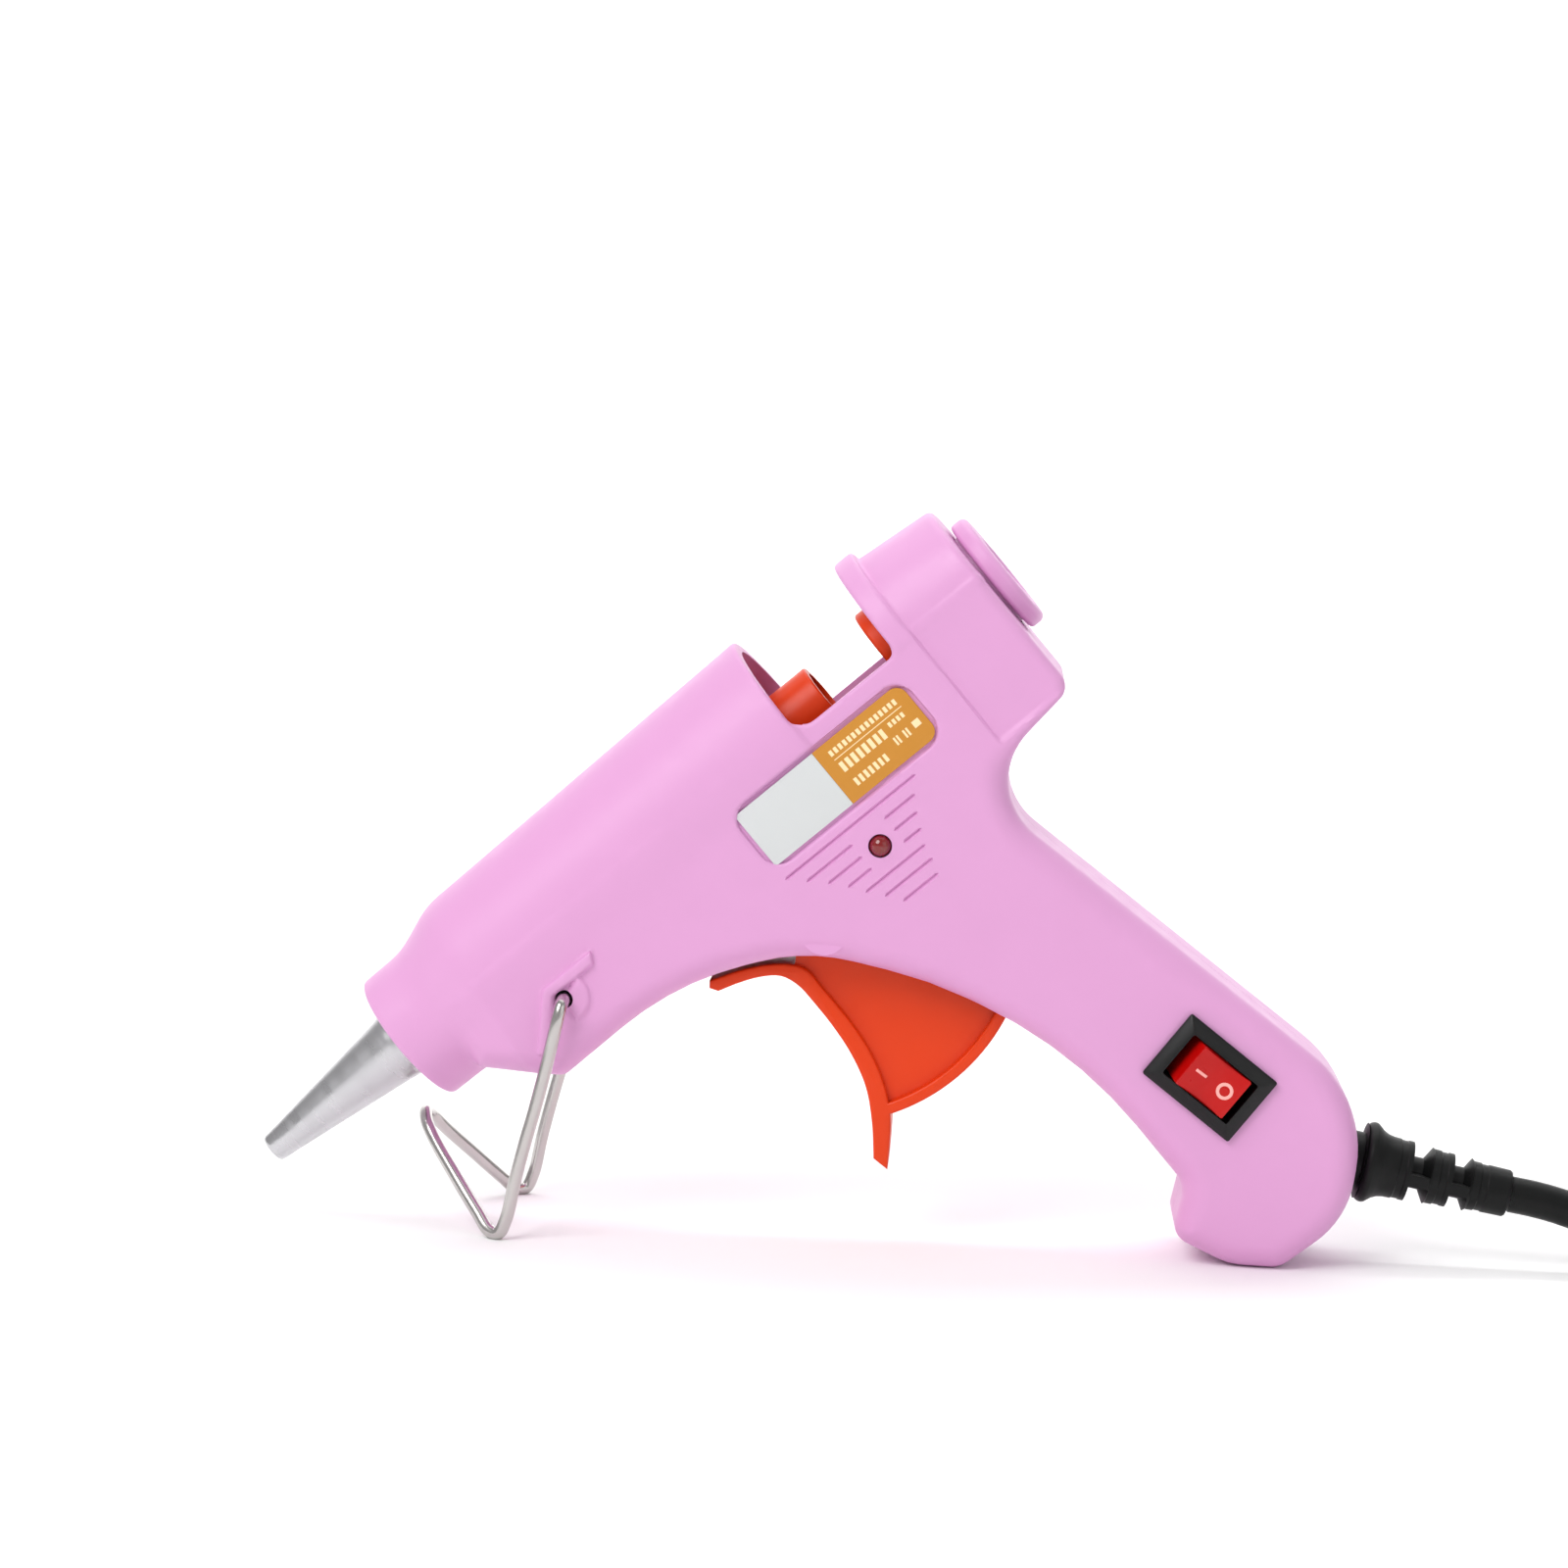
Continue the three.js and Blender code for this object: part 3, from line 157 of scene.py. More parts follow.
def material(name, colour, roughness, metallic=0.0, grain=0.0, grain_size=0.4, mottle=0.05,
             wear=0.06, stretch=(1, 1, 1), **sockets):
    """A principled material whose colour, roughness and fine surface vary a little.
    grain is the height in mm of a fine bump, and grain_size how wide its dents are, in mm."""
    made = bpy.data.materials.new(name)
    made.use_nodes = True
    nodes, links = made.node_tree.nodes, made.node_tree.links
    shader = nodes["Principled BSDF"]
    shader.inputs["Metallic"].default_value = metallic
    for socket, value in sockets.items():
        shader.inputs[socket.replace("_", " ")].default_value = value
    place = nodes.new("ShaderNodeTexCoord")
    mapping = nodes.new("ShaderNodeMapping")
    mapping.inputs["Scale"].default_value = stretch
    mapping.inputs["Rotation"].default_value = (0, -math.atan2(along.z, along.x), 0)
    mapping.vector_type = "TEXTURE"
    links.new(place.outputs["Object"], mapping.inputs["Vector"])

    def noise(size, detail):
        node = nodes.new("ShaderNodeTexNoise")
        node.inputs["Scale"].default_value = 1000 / size
        node.inputs["Detail"].default_value = detail
        links.new(mapping.outputs["Vector"], node.inputs["Vector"])
        return node.outputs["Fac"]

    def spread(value, low, high):
        """A noise's usual range stretched to run from low to high."""
        node = nodes.new("ShaderNodeMapRange")
        node.inputs["From Min"].default_value = 0.3
        node.inputs["From Max"].default_value = 0.7
        node.inputs["To Min"].default_value = low
        node.inputs["To Max"].default_value = high
        links.new(value, node.inputs["Value"])
        return node.outputs["Result"]

    ramp = nodes.new("ShaderNodeValToRGB")
    ramp.color_ramp.elements[0].color = [v * (1 - mottle) for v in colour[:3]] + [1]
    ramp.color_ramp.elements[1].color = [min(1, v * (1 + mottle)) for v in colour[:3]] + [1]
    links.new(noise(MOTTLE_WIDTH, 3), ramp.inputs["Fac"])
    links.new(ramp.outputs["Color"], shader.inputs["Base Color"])
    shine = spread(noise(WEAR_WIDTH, 4), roughness - wear, roughness + wear)
    links.new(shine, shader.inputs["Roughness"])
    if grain:
        bump = nodes.new("ShaderNodeBump")
        bump.inputs["Distance"].default_value = grain * MM
        bump.inputs["Strength"].default_value = 1
        links.new(noise(grain_size, 2), bump.inputs["Height"])
        links.new(bump.outputs["Normal"], shader.inputs["Normal"])
    return made


PINK = material("pink_plastic", srgb(219, 158, 206), 0.42, grain=0.006, grain_size=0.5, mottle=0.02,
                Specular_IOR_Level=0.4)
ORANGE = material("orange_plastic", srgb(222, 60, 4), 0.36, grain=0.005, grain_size=0.5, mottle=0.03,
                  Specular_IOR_Level=0.3)
BLACK = material("black_plastic", srgb(16, 16, 17), 0.38, grain=0.008, grain_size=0.35, mottle=0.1,
                 Specular_IOR_Level=0.32)
RUBBER = material("black_pvc", srgb(9, 10, 10), 0.46, grain=0.012, grain_size=0.45, mottle=0.12,
                  Specular_IOR_Level=0.22)
RED = material("red_plastic", srgb(190, 6, 4), 0.33, grain=0.004, grain_size=0.5, mottle=0.03,
               Specular_IOR_Level=0.3)
MARK = material("rocker_mark", srgb(255, 176, 168), 0.5, grain=0.003, mottle=0.03)
STEEL = material("zinc_plated_steel", srgb(186, 188, 192), 0.3, 1.0, grain=0.006, grain_size=0.3)
WIRE_STEEL = material("bright_wire", srgb(196, 192, 190), 0.2, 1.0, grain=0.004, grain_size=0.5,
                      stretch=(9, 1, 1), wear=0.05)
NOZZLE = material("turned_aluminium", srgb(200, 199, 202), 0.3, 1.0, grain=0.005, grain_size=0.6,
                  stretch=(0.6, 3, 3), mottle=0.06, wear=0.06)
CAST = material("cast_aluminium", srgb(166, 167, 170), 0.5, 1.0, grain=0.04, grain_size=0.8)
BRASS = material("nickel_plated_brass", srgb(190, 184, 168), 0.28, 1.0, grain=0.004)
CERAMIC = material("heater_film", srgb(196, 140, 80), 0.5, grain=0.01)
SILICONE = material("silicone", srgb(216, 210, 196), 0.6, grain=0.01)
GREY = material("grey_label", srgb(208, 211, 211), 0.5, grain=0.004, grain_size=0.7, mottle=0.015)
GOLD = material("gold_label", srgb(200, 134, 36), 0.46, grain=0.004, grain_size=0.7, mottle=0.04)
CREAM = material("label_print", srgb(250, 226, 176), 0.5, grain=0.002, mottle=0.02)
LAMP = material("red_lamp", srgb(150, 8, 16), 0.12, grain=0.001, mottle=0.15, wear=0.03,
                Transmission_Weight=0.35, Coat_Weight=0.6, IOR=1.5)
BROWN = material("brown_insulation", srgb(110, 62, 34), 0.45, grain=0.01)
BLUE = material("blue_insulation", srgb(42, 88, 168), 0.45, grain=0.01)

# ---- shapes: (points, faces)


def loft(rings):
    """Rings of the same number of points, skinned one to the next and closed at both ends."""
    count = len(rings[0])
    faces = []
    for ring in range(len(rings) - 1):
        low, high = ring * count, (ring + 1) * count
        for i in range(count):
            following = (i + 1) % count
            faces.append((low + i, low + following, high + following, high + i))
    last = (len(rings) - 1) * count
    faces += [tuple(range(count))[::-1], tuple(range(last, last + count))]
    return [point for ring in rings for point in ring], faces


def arc(x, y, radius, start, end, steps):
    """Points round (x, y) from one angle to another, in degrees."""
    angles = [math.radians(start + (end - start) * i / steps) for i in range(steps + 1)]
    return [(x + radius * math.cos(t), y + radius * math.sin(t)) for t in angles]


def profile_arc(a, r, radius, start, end, steps):
    """An arc round (a, r), as the (radius, a) pairs that revolve takes."""
    return [(y, x) for x, y in arc(a, r, radius, start, end, steps)]


def rounded_box(x, y, corner):
    """A rectangle of half sizes x and y with round corners."""
    ring = []
    for cx, cy, start in ((x - corner, -y + corner, -90), (x - corner, y - corner, 0),
                          (-x + corner, y - corner, 90), (-x + corner, -y + corner, 180)):
        ring += arc(cx, cy, corner, start, start + 90, 6)
    return ring


def revolve(profile, sides=72, centre=0.0, closed=False):
    """A solid of revolution about the line c = centre, from (radius, a) pairs. It starts and
    ends on the axis, or closes on itself."""
    count = len(profile)
    turns = [2 * math.pi * i / sides for i in range(sides)]
    points = [(a, r * math.cos(t), centre + r * math.sin(t)) for t in turns for r, a in profile]
    faces = []
    for i in range(sides):
        one, two = i * count, ((i + 1) % sides) * count
        for k in range(count if closed else count - 1):
            following = (k + 1) % count
            faces.append((one + k, one + following, two + following, two + k))
    return points, faces


def rod(radius, start, end, sides=64, centre=0.0):
    """A round bar along the line c = centre."""
    return revolve([(0, start), (radius, start), (radius, end), (0, end)], sides, centre)


def bar(a, c, radius, start, end, sides=32):
    """A round bar across the gun."""
    return loft([[(x, y, z) for x, z in arc(a, c, radius, 0, 360, sides)[:-1]] for y in (start, end)])


def block(a, y, c):
    """A box, from its two ends along each axis."""
    return loft([[(a[0], side, c[0]), (a[1], side, c[0]), (a[1], side, c[1]), (a[0], side, c[1])]
                 for side in y])


def inset(outline, distance):
    """A counter-clockwise outline, pulled in by a small distance."""
    points = np.array(outline, float)
    before, after = np.roll(points, 1, 0), np.roll(points, -1, 0)
    one = (points - before) / np.linalg.norm(points - before, axis=1)[:, None]
    two = (after - points) / np.linalg.norm(after - points, axis=1)[:, None]
    middle = one + two
    middle /= np.linalg.norm(middle, axis=1)[:, None]
    normal = np.stack([-middle[:, 1], middle[:, 0]], 1)
    stretch = np.maximum((middle * one).sum(1), 0.4)
    return points + normal * (distance / stretch)[:, None]


def area(outline):
    x, y = np.array(outline, float).T
    return 0.5 * float(np.sum(x * np.roll(y, -1) - np.roll(x, -1) * y))


def prism(outline, start, end, soft=0.0, steps=4):
    """An outline in a and c, extruded across the gun, with its edges rounded."""
    if area(outline) < 0:
        outline = outline[::-1]
    layers = [(0, start), (0, end)]
    if soft:
        turns = [math.pi / 2 * i / steps for i in range(steps + 1)]
        near = [(soft * (1 - math.sin(t)), start + soft * (1 - math.cos(t))) for t in turns]
        layers = near + [(depth, start + end - y) for depth, y in near[::-1]]
    return loft([[(a, y, c) for a, c in inset(outline, depth)] for depth, y in layers])


def moved(shape, matrix):
    """A shape put where the matrix says."""
    points, faces = shape
    return [tuple(matrix @ Vector(point)) for point in points], faces


def smooth_line(points, step, tension=0.5):
    """A centripetal curve through the points, as points about a step apart."""
    p = [np.array(point, float) for point in points]
    p = [2 * p[0] - p[1]] + p + [2 * p[-1] - p[-2]]
    line = []
    for p0, p1, p2, p3 in zip(p, p[1:], p[2:], p[3:]):
        t1 = np.linalg.norm(p1 - p0) ** tension
        t2 = t1 + np.linalg.norm(p2 - p1) ** tension
        t3 = t2 + np.linalg.norm(p3 - p2) ** tension
        count = max(1, round(np.linalg.norm(p2 - p1) / step))
        for t in np.linspace(t1, t2, count, endpoint=False):
            a1 = (t1 - t) / t1 * p0 + t / t1 * p1
            a2 = (t2 - t) / (t2 - t1) * p1 + (t - t1) / (t2 - t1) * p2
            a3 = (t3 - t) / (t3 - t2) * p2 + (t - t2) / (t3 - t2) * p3
            b1 = (t2 - t) / t2 * a1 + t / t2 * a2
            b2 = (t3 - t) / (t3 - t1) * a2 + (t - t1) / (t3 - t1) * a3
            line.append((t2 - t) / (t2 - t1) * b1 + (t - t1) / (t2 - t1) * b2)
    return line + [p[-2]]


def sweep(line, radius, sides=16):
    """A round tube along close points, closed at both ends."""
    line = np.array(line, float)
    ways = np.gradient(line, axis=0)
    ways /= np.linalg.norm(ways, axis=1)[:, None]
    side = np.cross(ways[0], (0.13, 0.21, 0.97))
    rings = []
    for point, way in zip(line, ways):
        side = side - way * side.dot(way)
        side /= np.linalg.norm(side)
        other = np.cross(way, side)
        rings.append([tuple(point + radius * (side * math.cos(t) + other * math.sin(t)))
                      for t in np.linspace(0, 2 * math.pi, sides, endpoint=False)])
    return loft(rings)


def mesh_of(shape, name="shape", solid=True):
    """A shape as a mesh: doubles merged, and faces turned outwards if it is a solid. A mesh
    is left as it is."""
    if isinstance(shape, bpy.types.Mesh):
        return shape
    mesh = bpy.data.meshes.new(name)
    mesh.from_pydata([tuple(p) for p in shape[0]], [], [tuple(f) for f in shape[1]])
    made = bmesh.new()
    made.from_mesh(mesh)
    if solid:
        bmesh.ops.remove_doubles(made, verts=made.verts, dist=1e-5)
        bmesh.ops.recalc_face_normals(made, faces=made.faces)
    made.to_mesh(mesh)
    made.free()
    return mesh


def boolean(base, plus=(), minus=(), within=()):
    """A shape or mesh with others added, then others cut away, then only what is within others."""
    held = [added("base", mesh_of(base))]
    for operation, shapes in (("UNION", plus), ("DIFFERENCE", minus), ("INTERSECT", within)):
        for shape in shapes:
            held.append(added("tool", mesh_of(shape)))
            step = held[0].modifiers.new(operation, "BOOLEAN")
            step.operation = operation
            step.solver = "MANIFOLD"
            step.object = held[-1]
    bpy.context.view_layer.update()
    done = bpy.data.meshes.new_from_object(held[0].evaluated_get(bpy.context.evaluated_depsgraph_get()))
    for made in held:
        bpy.data.objects.remove(made)
    return done


def joined(*meshes):
    """Meshes as one, with nothing cut."""
    made = bmesh.new()
    for mesh in meshes:
        made.from_mesh(mesh_of(mesh))
    mesh = bpy.data.meshes.new("joined")
    made.to_mesh(mesh)
    made.free()
    return mesh


def piece(name, shape, finish, body="gun", replaces=(), place=GUN, crease=32):
    """A shape or mesh as an object of the model, which rides on a body."""
    mesh = mesh_of(shape)
    mesh.name = name
    mesh.transform(place)
    mesh.materials.clear()
    mesh.materials.append(finish)
    mesh.polygons.foreach_set("use_smooth", [True] * len(mesh.polygons))
    mesh.polygons.foreach_set("material_index", [0] * len(mesh.polygons))
    mesh.set_sharp_from_angle(angle=math.radians(crease))
    made = added(name, mesh)
    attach(made, body)
    if replaces:
        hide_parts(*replaces)
    return made


# ---- the cord

exit_point = GUN @ Vector((EXIT[0] + RELIEF * math.cos(EXIT_WAY), 0,
                           EXIT[1] + RELIEF * math.sin(EXIT_WAY)))
FLOOR_HEIGHT = (CORD_RADIUS + 0.02) * MM
# Way along the floor from the strain relief, mm, and height as a share of the relief's own.
ROUTE = [(0.4, 0.99), (3.5, 0.93), (7, 0.83), (10.5, 0.7), (14, 0.54), (17.5, 0.37), (20.4, 0.24),
         (24.5, 0.1), (28, 0.03), (31.5, 0), (35, 0), (38.5, 0), (42, 0)]
DRIFT_START = 6  # way along the floor where the cord starts to drift
HANK_SIDE = 11.0  # how far it has drifted to the label side when it reaches the hank
HANK_CLEAR = 44.8  # from the strain relief to the start of the hank's straight runs
HANK_RUN = 44.0  # length of those runs
WIDEST = 22.7  # from the middle line of the hank to the outermost lap
LAP_STEP = 5.2  # from one lap to the next inside it
LAYERS = 3
LAYER = 5.0  # from one layer to the next above it
HANK_TOP = 15.04  # height of the top of the top layer
REST_GAP = 0.3  # between the hank and what lies on it
TAIL_LOW = HANK_TOP + REST_GAP + CORD_RADIUS + 0.06  # height of the last run, which lies on the hank
TAIL_BEND = 15.0  # radius of the fold that ends it
TAIL_SIDE = 5.0  # how far that fold's centre is from the hank's middle line
PLUG_HALF = 6.85  # half the plug's height
PLUG_Z = HANK_TOP + REST_GAP + PLUG_HALF
STEPS_PER_LAP = 48
hank_at = Vector((exit_point.x / MM + HANK_CLEAR, WIDEST - HANK_SIDE, 0))


def ease(t):
    """0 to 1, starting and ending gently."""
    return t * t * (3 - 2 * t)


def on_hank(laps, radius, height):
    """A point of the hank: laps counts from the near run's end at the gun, heading away from it."""
    middle = WIDEST - 0.75 * LAP_STEP
    run = HANK_RUN / (2 * HANK_RUN + 2 * math.pi * middle)
    place = laps % 1
    far = place >= 0.5
    share = place - 0.5 * far
    if share < run:
        x, y = HANK_RUN * share / run, -radius
    else:
        turn = math.pi * (share - run) / (0.5 - run)
        x, y = HANK_RUN + radius * math.sin(turn), -radius * math.cos(turn)
    if far:
        x, y = HANK_RUN - x, -y
    return Vector((hank_at.x + x, hank_at.y + y, height))


low = FLOOR_HEIGHT / MM
cord_points = []
for way, share in ROUTE:
    drift = -HANK_SIDE * ease(min(max((way - DRIFT_START) / (HANK_CLEAR - DRIFT_START), 0), 1))
    cord_points.append(Vector((exit_point.x / MM + way, drift, low + (exit_point.z / MM - low) * share)))
narrow = WIDEST - 1.5 * LAP_STEP
# Laps, radius and layer at the start of each stretch: in, up, out, up, in, and up to the tail.
TURNS = [(0, WIDEST, 0), (1.5, narrow, 0), (1.75, narrow, 1), (3.25, WIDEST, 1), (3.5, WIDEST, 2),
         (4.22, WIDEST - 0.72 * LAP_STEP, 2), (4.5, TAIL_BEND + TAIL_SIDE, LAYERS)]
for (lap0, radius0, layer0), (lap1, radius1, layer1) in zip(TURNS, TURNS[1:]):
    steps = round((lap1 - lap0) * STEPS_PER_LAP)
    above = TAIL_LOW - low - LAYER * LAYERS if layer1 == LAYERS else 0
    for i in range(steps):
        t = i / steps
        rise = ease(t) * (layer1 - layer0)
        cord_points.append(on_hank(lap0 + (lap1 - lap0) * t, radius0 + (radius1 - radius0) * t,
                                   low + LAYER * (layer0 + rise) + above * ease(t)))
# The last run comes back along the hank, then folds over and climbs to the plug.
for x in np.linspace(HANK_RUN - 0.5, 4, 10):
    cord_points.append(Vector((hank_at.x + x, hank_at.y + TAIL_SIDE + TAIL_BEND, TAIL_LOW)))
for i in range(19):
    turn = math.radians(90 + 10 * i)
    cord_points.append(Vector((hank_at.x + TAIL_BEND * math.cos(turn),
                               hank_at.y + TAIL_SIDE + TAIL_BEND * math.sin(turn),
                               TAIL_LOW + (PLUG_Z - TAIL_LOW) * ease(i / 18))))
cord_line = smooth_line([point * MM for point in cord_points], 1.5 * MM)
cord_curve = bpy.data.curves.new("power_cord_flex", "CURVE")
cord_curve.dimensions = "3D"
cord_curve.bevel_depth = CORD_RADIUS * MM
cord_curve.bevel_resolution = 5
cord_curve.use_fill_caps = True
spline = cord_curve.splines.new("POLY")
spline.points.add(len(cord_line) - 1)
for target_point, point in zip(spline.points, cord_line):
    target_point.co = (*point, 1)
spline.use_smooth = True
cord_curve.materials.append(RUBBER)
cord = added("power_cord_flex", cord_curve)
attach(cord, "gun")
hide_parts("power_cord", "power_cord_hank", "power_cord_tail")

# The plug lies on the hank. Its profile is way along, half width and half height.
PLUG_PROFILE = [
    (0, 3.7, 3.3), (0.4, 4.1, 3.8), (3, 4.1, 3.8), (3.4, 3.6, 3.3), (4.6, 3.6, 3.3), (5, 4.5, 4.1),
    (8, 5.3, 4.8), (12, 9, 6), (16, 14.2, 6.6), (19, 16.4, 6.75), (24, 17.2, PLUG_HALF),
    (26, 16.6, 6.6), (27, 16.6, 6.6), (28.2, 17.3, PLUG_HALF), (35.2, 17.3, PLUG_HALF), (35.8, 16.9, 6.5),
]
PIN_PROFILE = [(0, 33.3), (2, 33.3), (2, 53.6), (1.9, 54.2), (1.5, 54.75), (0.9, 54.97), (0, 55)]
PIN_SIDES = (-9.3, 9.3)
plug_rear = Vector((hank_at.x + 0.6, hank_at.y + TAIL_SIDE - TAIL_BEND, PLUG_Z)) * MM
PLUG_PLACE = Matrix.Translation(plug_rear) @ IN_MM


def plug_ring(x, half_width, half_height):
    """A flat ring with round ends, across the plug at x."""
    straight = half_width - half_height
    ends = arc(straight, 0, half_height, -90, 90, 16) + arc(-straight, 0, half_height, 90, 270, 16)
    return [(x, y, z) for y, z in ends]


pin_holes = [moved(rod(2.1, 32.8, 38, 24), Matrix.Translation((0, side, 0))) for side in PIN_SIDES]
plug_shape = boolean(loft([plug_ring(*ring) for ring in PLUG_PROFILE]), minus=pin_holes)
plug = piece("plug_shell", plug_shape, RUBBER, replaces=["plug_body"], place=PLUG_PLACE)
for i, side in enumerate(PIN_SIDES):
    pin = moved(revolve(PIN_PROFILE, 32), Matrix.Translation((0, side, 0)))
    piece(f"plug_contact_{i + 1}", pin, BRASS, replaces=[f"plug_pin_{i + 1}"],
                      place=PLUG_PLACE)

# The tie goes round the hank's side that is nearer the label.
TIE_WALL = 0.35
TIE_AT = hank_at.x + 39
TIE_WIDTH = 4
TIE_Y = hank_at.y - 18.75
TIE_HALF = 6.6


def hoop(grow, start, end):
    """A bar as wide and high as the side of the hank, grown all round, from start to end along x."""
    bottom, top = TIE_WALL - grow, HANK_TOP + grow
    outline = rounded_box(TIE_HALF + grow, (top - bottom) / 2, 2.2)
    return loft([[(x, TIE_Y + y, (top + bottom) / 2 + z) for y, z in outline] for x in (start, end)])


tie_shape = boolean(hoop(TIE_WALL, TIE_AT, TIE_AT + TIE_WIDTH),
                    minus=[hoop(0, TIE_AT - 1, TIE_AT + TIE_WIDTH + 1)])
tie = piece("cord_tie_band", tie_shape, RUBBER, place=IN_MM)

# ---- floor and light


def sweep_floor():
    """A pale sheet that runs back and curves up behind."""
    bend = 0.6
    line = [(-1.6, 0), (1.2, 0)] + [(1.2 + bend * math.sin(t), bend * (1 - math.cos(t)))
                                    for t in np.linspace(0.05, math.pi / 2, 24)] + [(1.8, 2.4)]
    points = [(x, y, z) for y, z in line for x in (-3, 3)]
    faces = [(2 * i, 2 * i + 1, 2 * i + 3, 2 * i + 2) for i in range(len(line) - 1)]
    mesh = mesh_of((points, faces), "backdrop", solid=False)
    mesh.materials.append(material("backdrop_paper", srgb(250, 250, 250), 0.8, mottle=0.004, wear=0.02))
    mesh.polygons.foreach_set("use_smooth", [True] * len(mesh.polygons))
    added("backdrop", mesh)


sweep_floor()


def area_light(name, position, size, power, aim=(0.0, 0.0, 0.05)):
    """A soft light of a size in metres and a power in watts, turned towards aim."""
    data = bpy.data.lights.new(name, "AREA")
    data.shape = "RECTANGLE"
    data.size, data.size_y = size
    data.energy = power
    made = added(name, data)
    made.location = position
    made.rotation_euler = (Vector(aim) - Vector(position)).to_track_quat("-Z", "Y").to_euler()


area_light("key", (-0.55, -0.75, 0.85), (0.7, 0.7), 9)
area_light("fill", (0.9, -0.8, 0.5), (0.9, 0.9), 1.6)
area_light("backdrop_wash", (0, 0.55, 1.3), (2.6, 0.5), 34, aim=(0, 1.8, 0.5))
area_light("top", (0.1, 0.25, 1.1), (1.2, 0.9), 3)
AMBIENT = 0.44
world = bpy.data.worlds.new("studio")
world.use_nodes = True
background = world.node_tree.nodes["Background"].inputs
background["Color"].default_value = (1, 1, 1, 1)
background["Strength"].default_value = AMBIENT
bpy.context.scene.world = world
bpy.context.scene.view_settings.view_transform = "Standard"

# ---- the housing's outside


def rounded(corners, wall=0.0, edge=0.0, turn_step=6):
    """The outline of the corners with its wall and its rounded edge taken off. A corner that
    gives no shares of them for the edge that follows it has all of both."""
    count = len(corners)
    full = [tuple(corner) + (1, 1)[len(corner) - 3:] for corner in corners]
    sides = []
    for i, (a, c, _, edge_share, wall_share) in enumerate(full):
        way = np.array(full[(i + 1) % count][:2]) - (a, c)
        way = way / np.linalg.norm(way)
        depth = wall * wall_share + edge * edge_share
        sides.append((way, depth, np.array((a - way[1] * depth, c + way[0] * depth))))
    outline = []
    for i, (_, _, radius, _, _) in enumerate(full):
        (way0, depth0, from0), (way1, depth1, from1) = sides[i - 1], sides[i]
        cross = way0[0] * way1[1] - way0[1] * way1[0]
        turn = math.atan2(cross, float(way0 @ way1))
        step = from1 - from0
        corner = from0 + way0 * ((step[0] * way1[1] - step[1] * way1[0]) / cross)
        bend = max(radius - math.copysign(min(depth0, depth1), turn), 0.02)
        start = corner - way0 * bend * math.tan(abs(turn) / 2)
        centre = start + np.array((-way0[1], way0[0])) * math.copysign(bend, turn)
        steps = max(1, math.ceil(math.degrees(abs(turn)) / turn_step))
        for k in range(steps + 1):
            angle = turn * k / steps
            x, y = start - centre
            outline.append((centre[0] + x * math.cos(angle) - y * math.sin(angle),
                            centre[1] + x * math.sin(angle) + y * math.cos(angle)))
    return outline


def inside_distance(outline, a, c):
    """How far inside an outline points are, negative outside."""
    nearest = np.full(np.broadcast(a, c).shape, 1e9)
    inside = np.zeros(nearest.shape, bool)
    for (x0, y0), (x1, y1) in zip(outline, outline[1:] + outline[:1]):
        dx, dy = x1 - x0, y1 - y0
        if dx * dx + dy * dy < 1e-10:
            continue
        t = np.clip(((a - x0) * dx + (c - y0) * dy) / (dx * dx + dy * dy), 0, 1)
        nearest = np.minimum(nearest, (a - x0 - t * dx) ** 2 + (c - y0 - t * dy) ** 2)
        if dy:
            inside ^= ((y0 > c) != (y1 > c)) & (a < dx * (c - y0) / dy + x0)
    return np.where(inside, 1, -1) * np.sqrt(nearest)


def union(p, q, soft):
    """Both fields' solids as one, with the corner between them filled softly."""
    near = np.maximum(soft - np.abs(p - q), 0) / soft
    return np.minimum(p, q) - near * near * soft / 4


def overlap(p, q, soft):
    """What both fields' solids share, with its edge rounded."""
    return -union(-p, -q, soft)


def corner_field(x, z, radius):
    """Below zero inside a corner rounded by a radius; x and z are how far past its centre."""
    return np.sqrt(np.maximum(x, 0) ** 2 + np.maximum(z, 0) ** 2) + np.minimum(np.maximum(x, z), 0) - radius


def step_up(value, start, end):
    """0 before start, 1 after end, and gentle between."""
    return ease(np.clip((value - start) / (end - start), 0, 1))


# The outside's outline runs on above the axis, where the barrel and the rear block take over.
upper = [(a, 12 if c == 0 else c, *rest) for a, c, *rest in BODY]
body_outline = rounded([corner[:3] for corner in upper])
window_outline = (arc(RIM + 2.6, 1.5, 2.6, 180, 270, 8) + arc(WINDOW_END - 1.2, 0.1, 1.2, 270, 360, 6)
                  + [(WINDOW_END, 22), (RIM, 22)])
RIB = [(7.2, 2.9), (-1.5, 2.9), (-7.7, -3.6), (-6.3, -5.1), (-0.7, 1.2), (6.3, 1.2)]
rib_outline = [(STAND_AT[0] + x, STAND_AT[1] + y) for x, y in RIB][::-1]
boss_outline = [STAND_AT] + arc(STAND_AT[0] + 0.2, STAND_AT[1] + 0.1, 3.5, -105, 20, 12)
FLANGE_END = 115.7
BLOCK_HALF = float(half_at(FLANGE_END, 0)) - 0.5  # half the width of the block behind the window
BARREL_A = [20, FRONT, 31.2, 33.2, 37.6, 39.6, 60, RIM, 130]
BARREL_R = [9.85, COLLAR, 10.0, 10.45, 12.2, 12.68, 13.1, RIM_RADIUS, 14.5]
LABEL_HALF = (14.9, 5.0)  # half sizes of the recess that the label lies in
LABEL_CORNER = 3
LABEL_DEPTH = 0.7


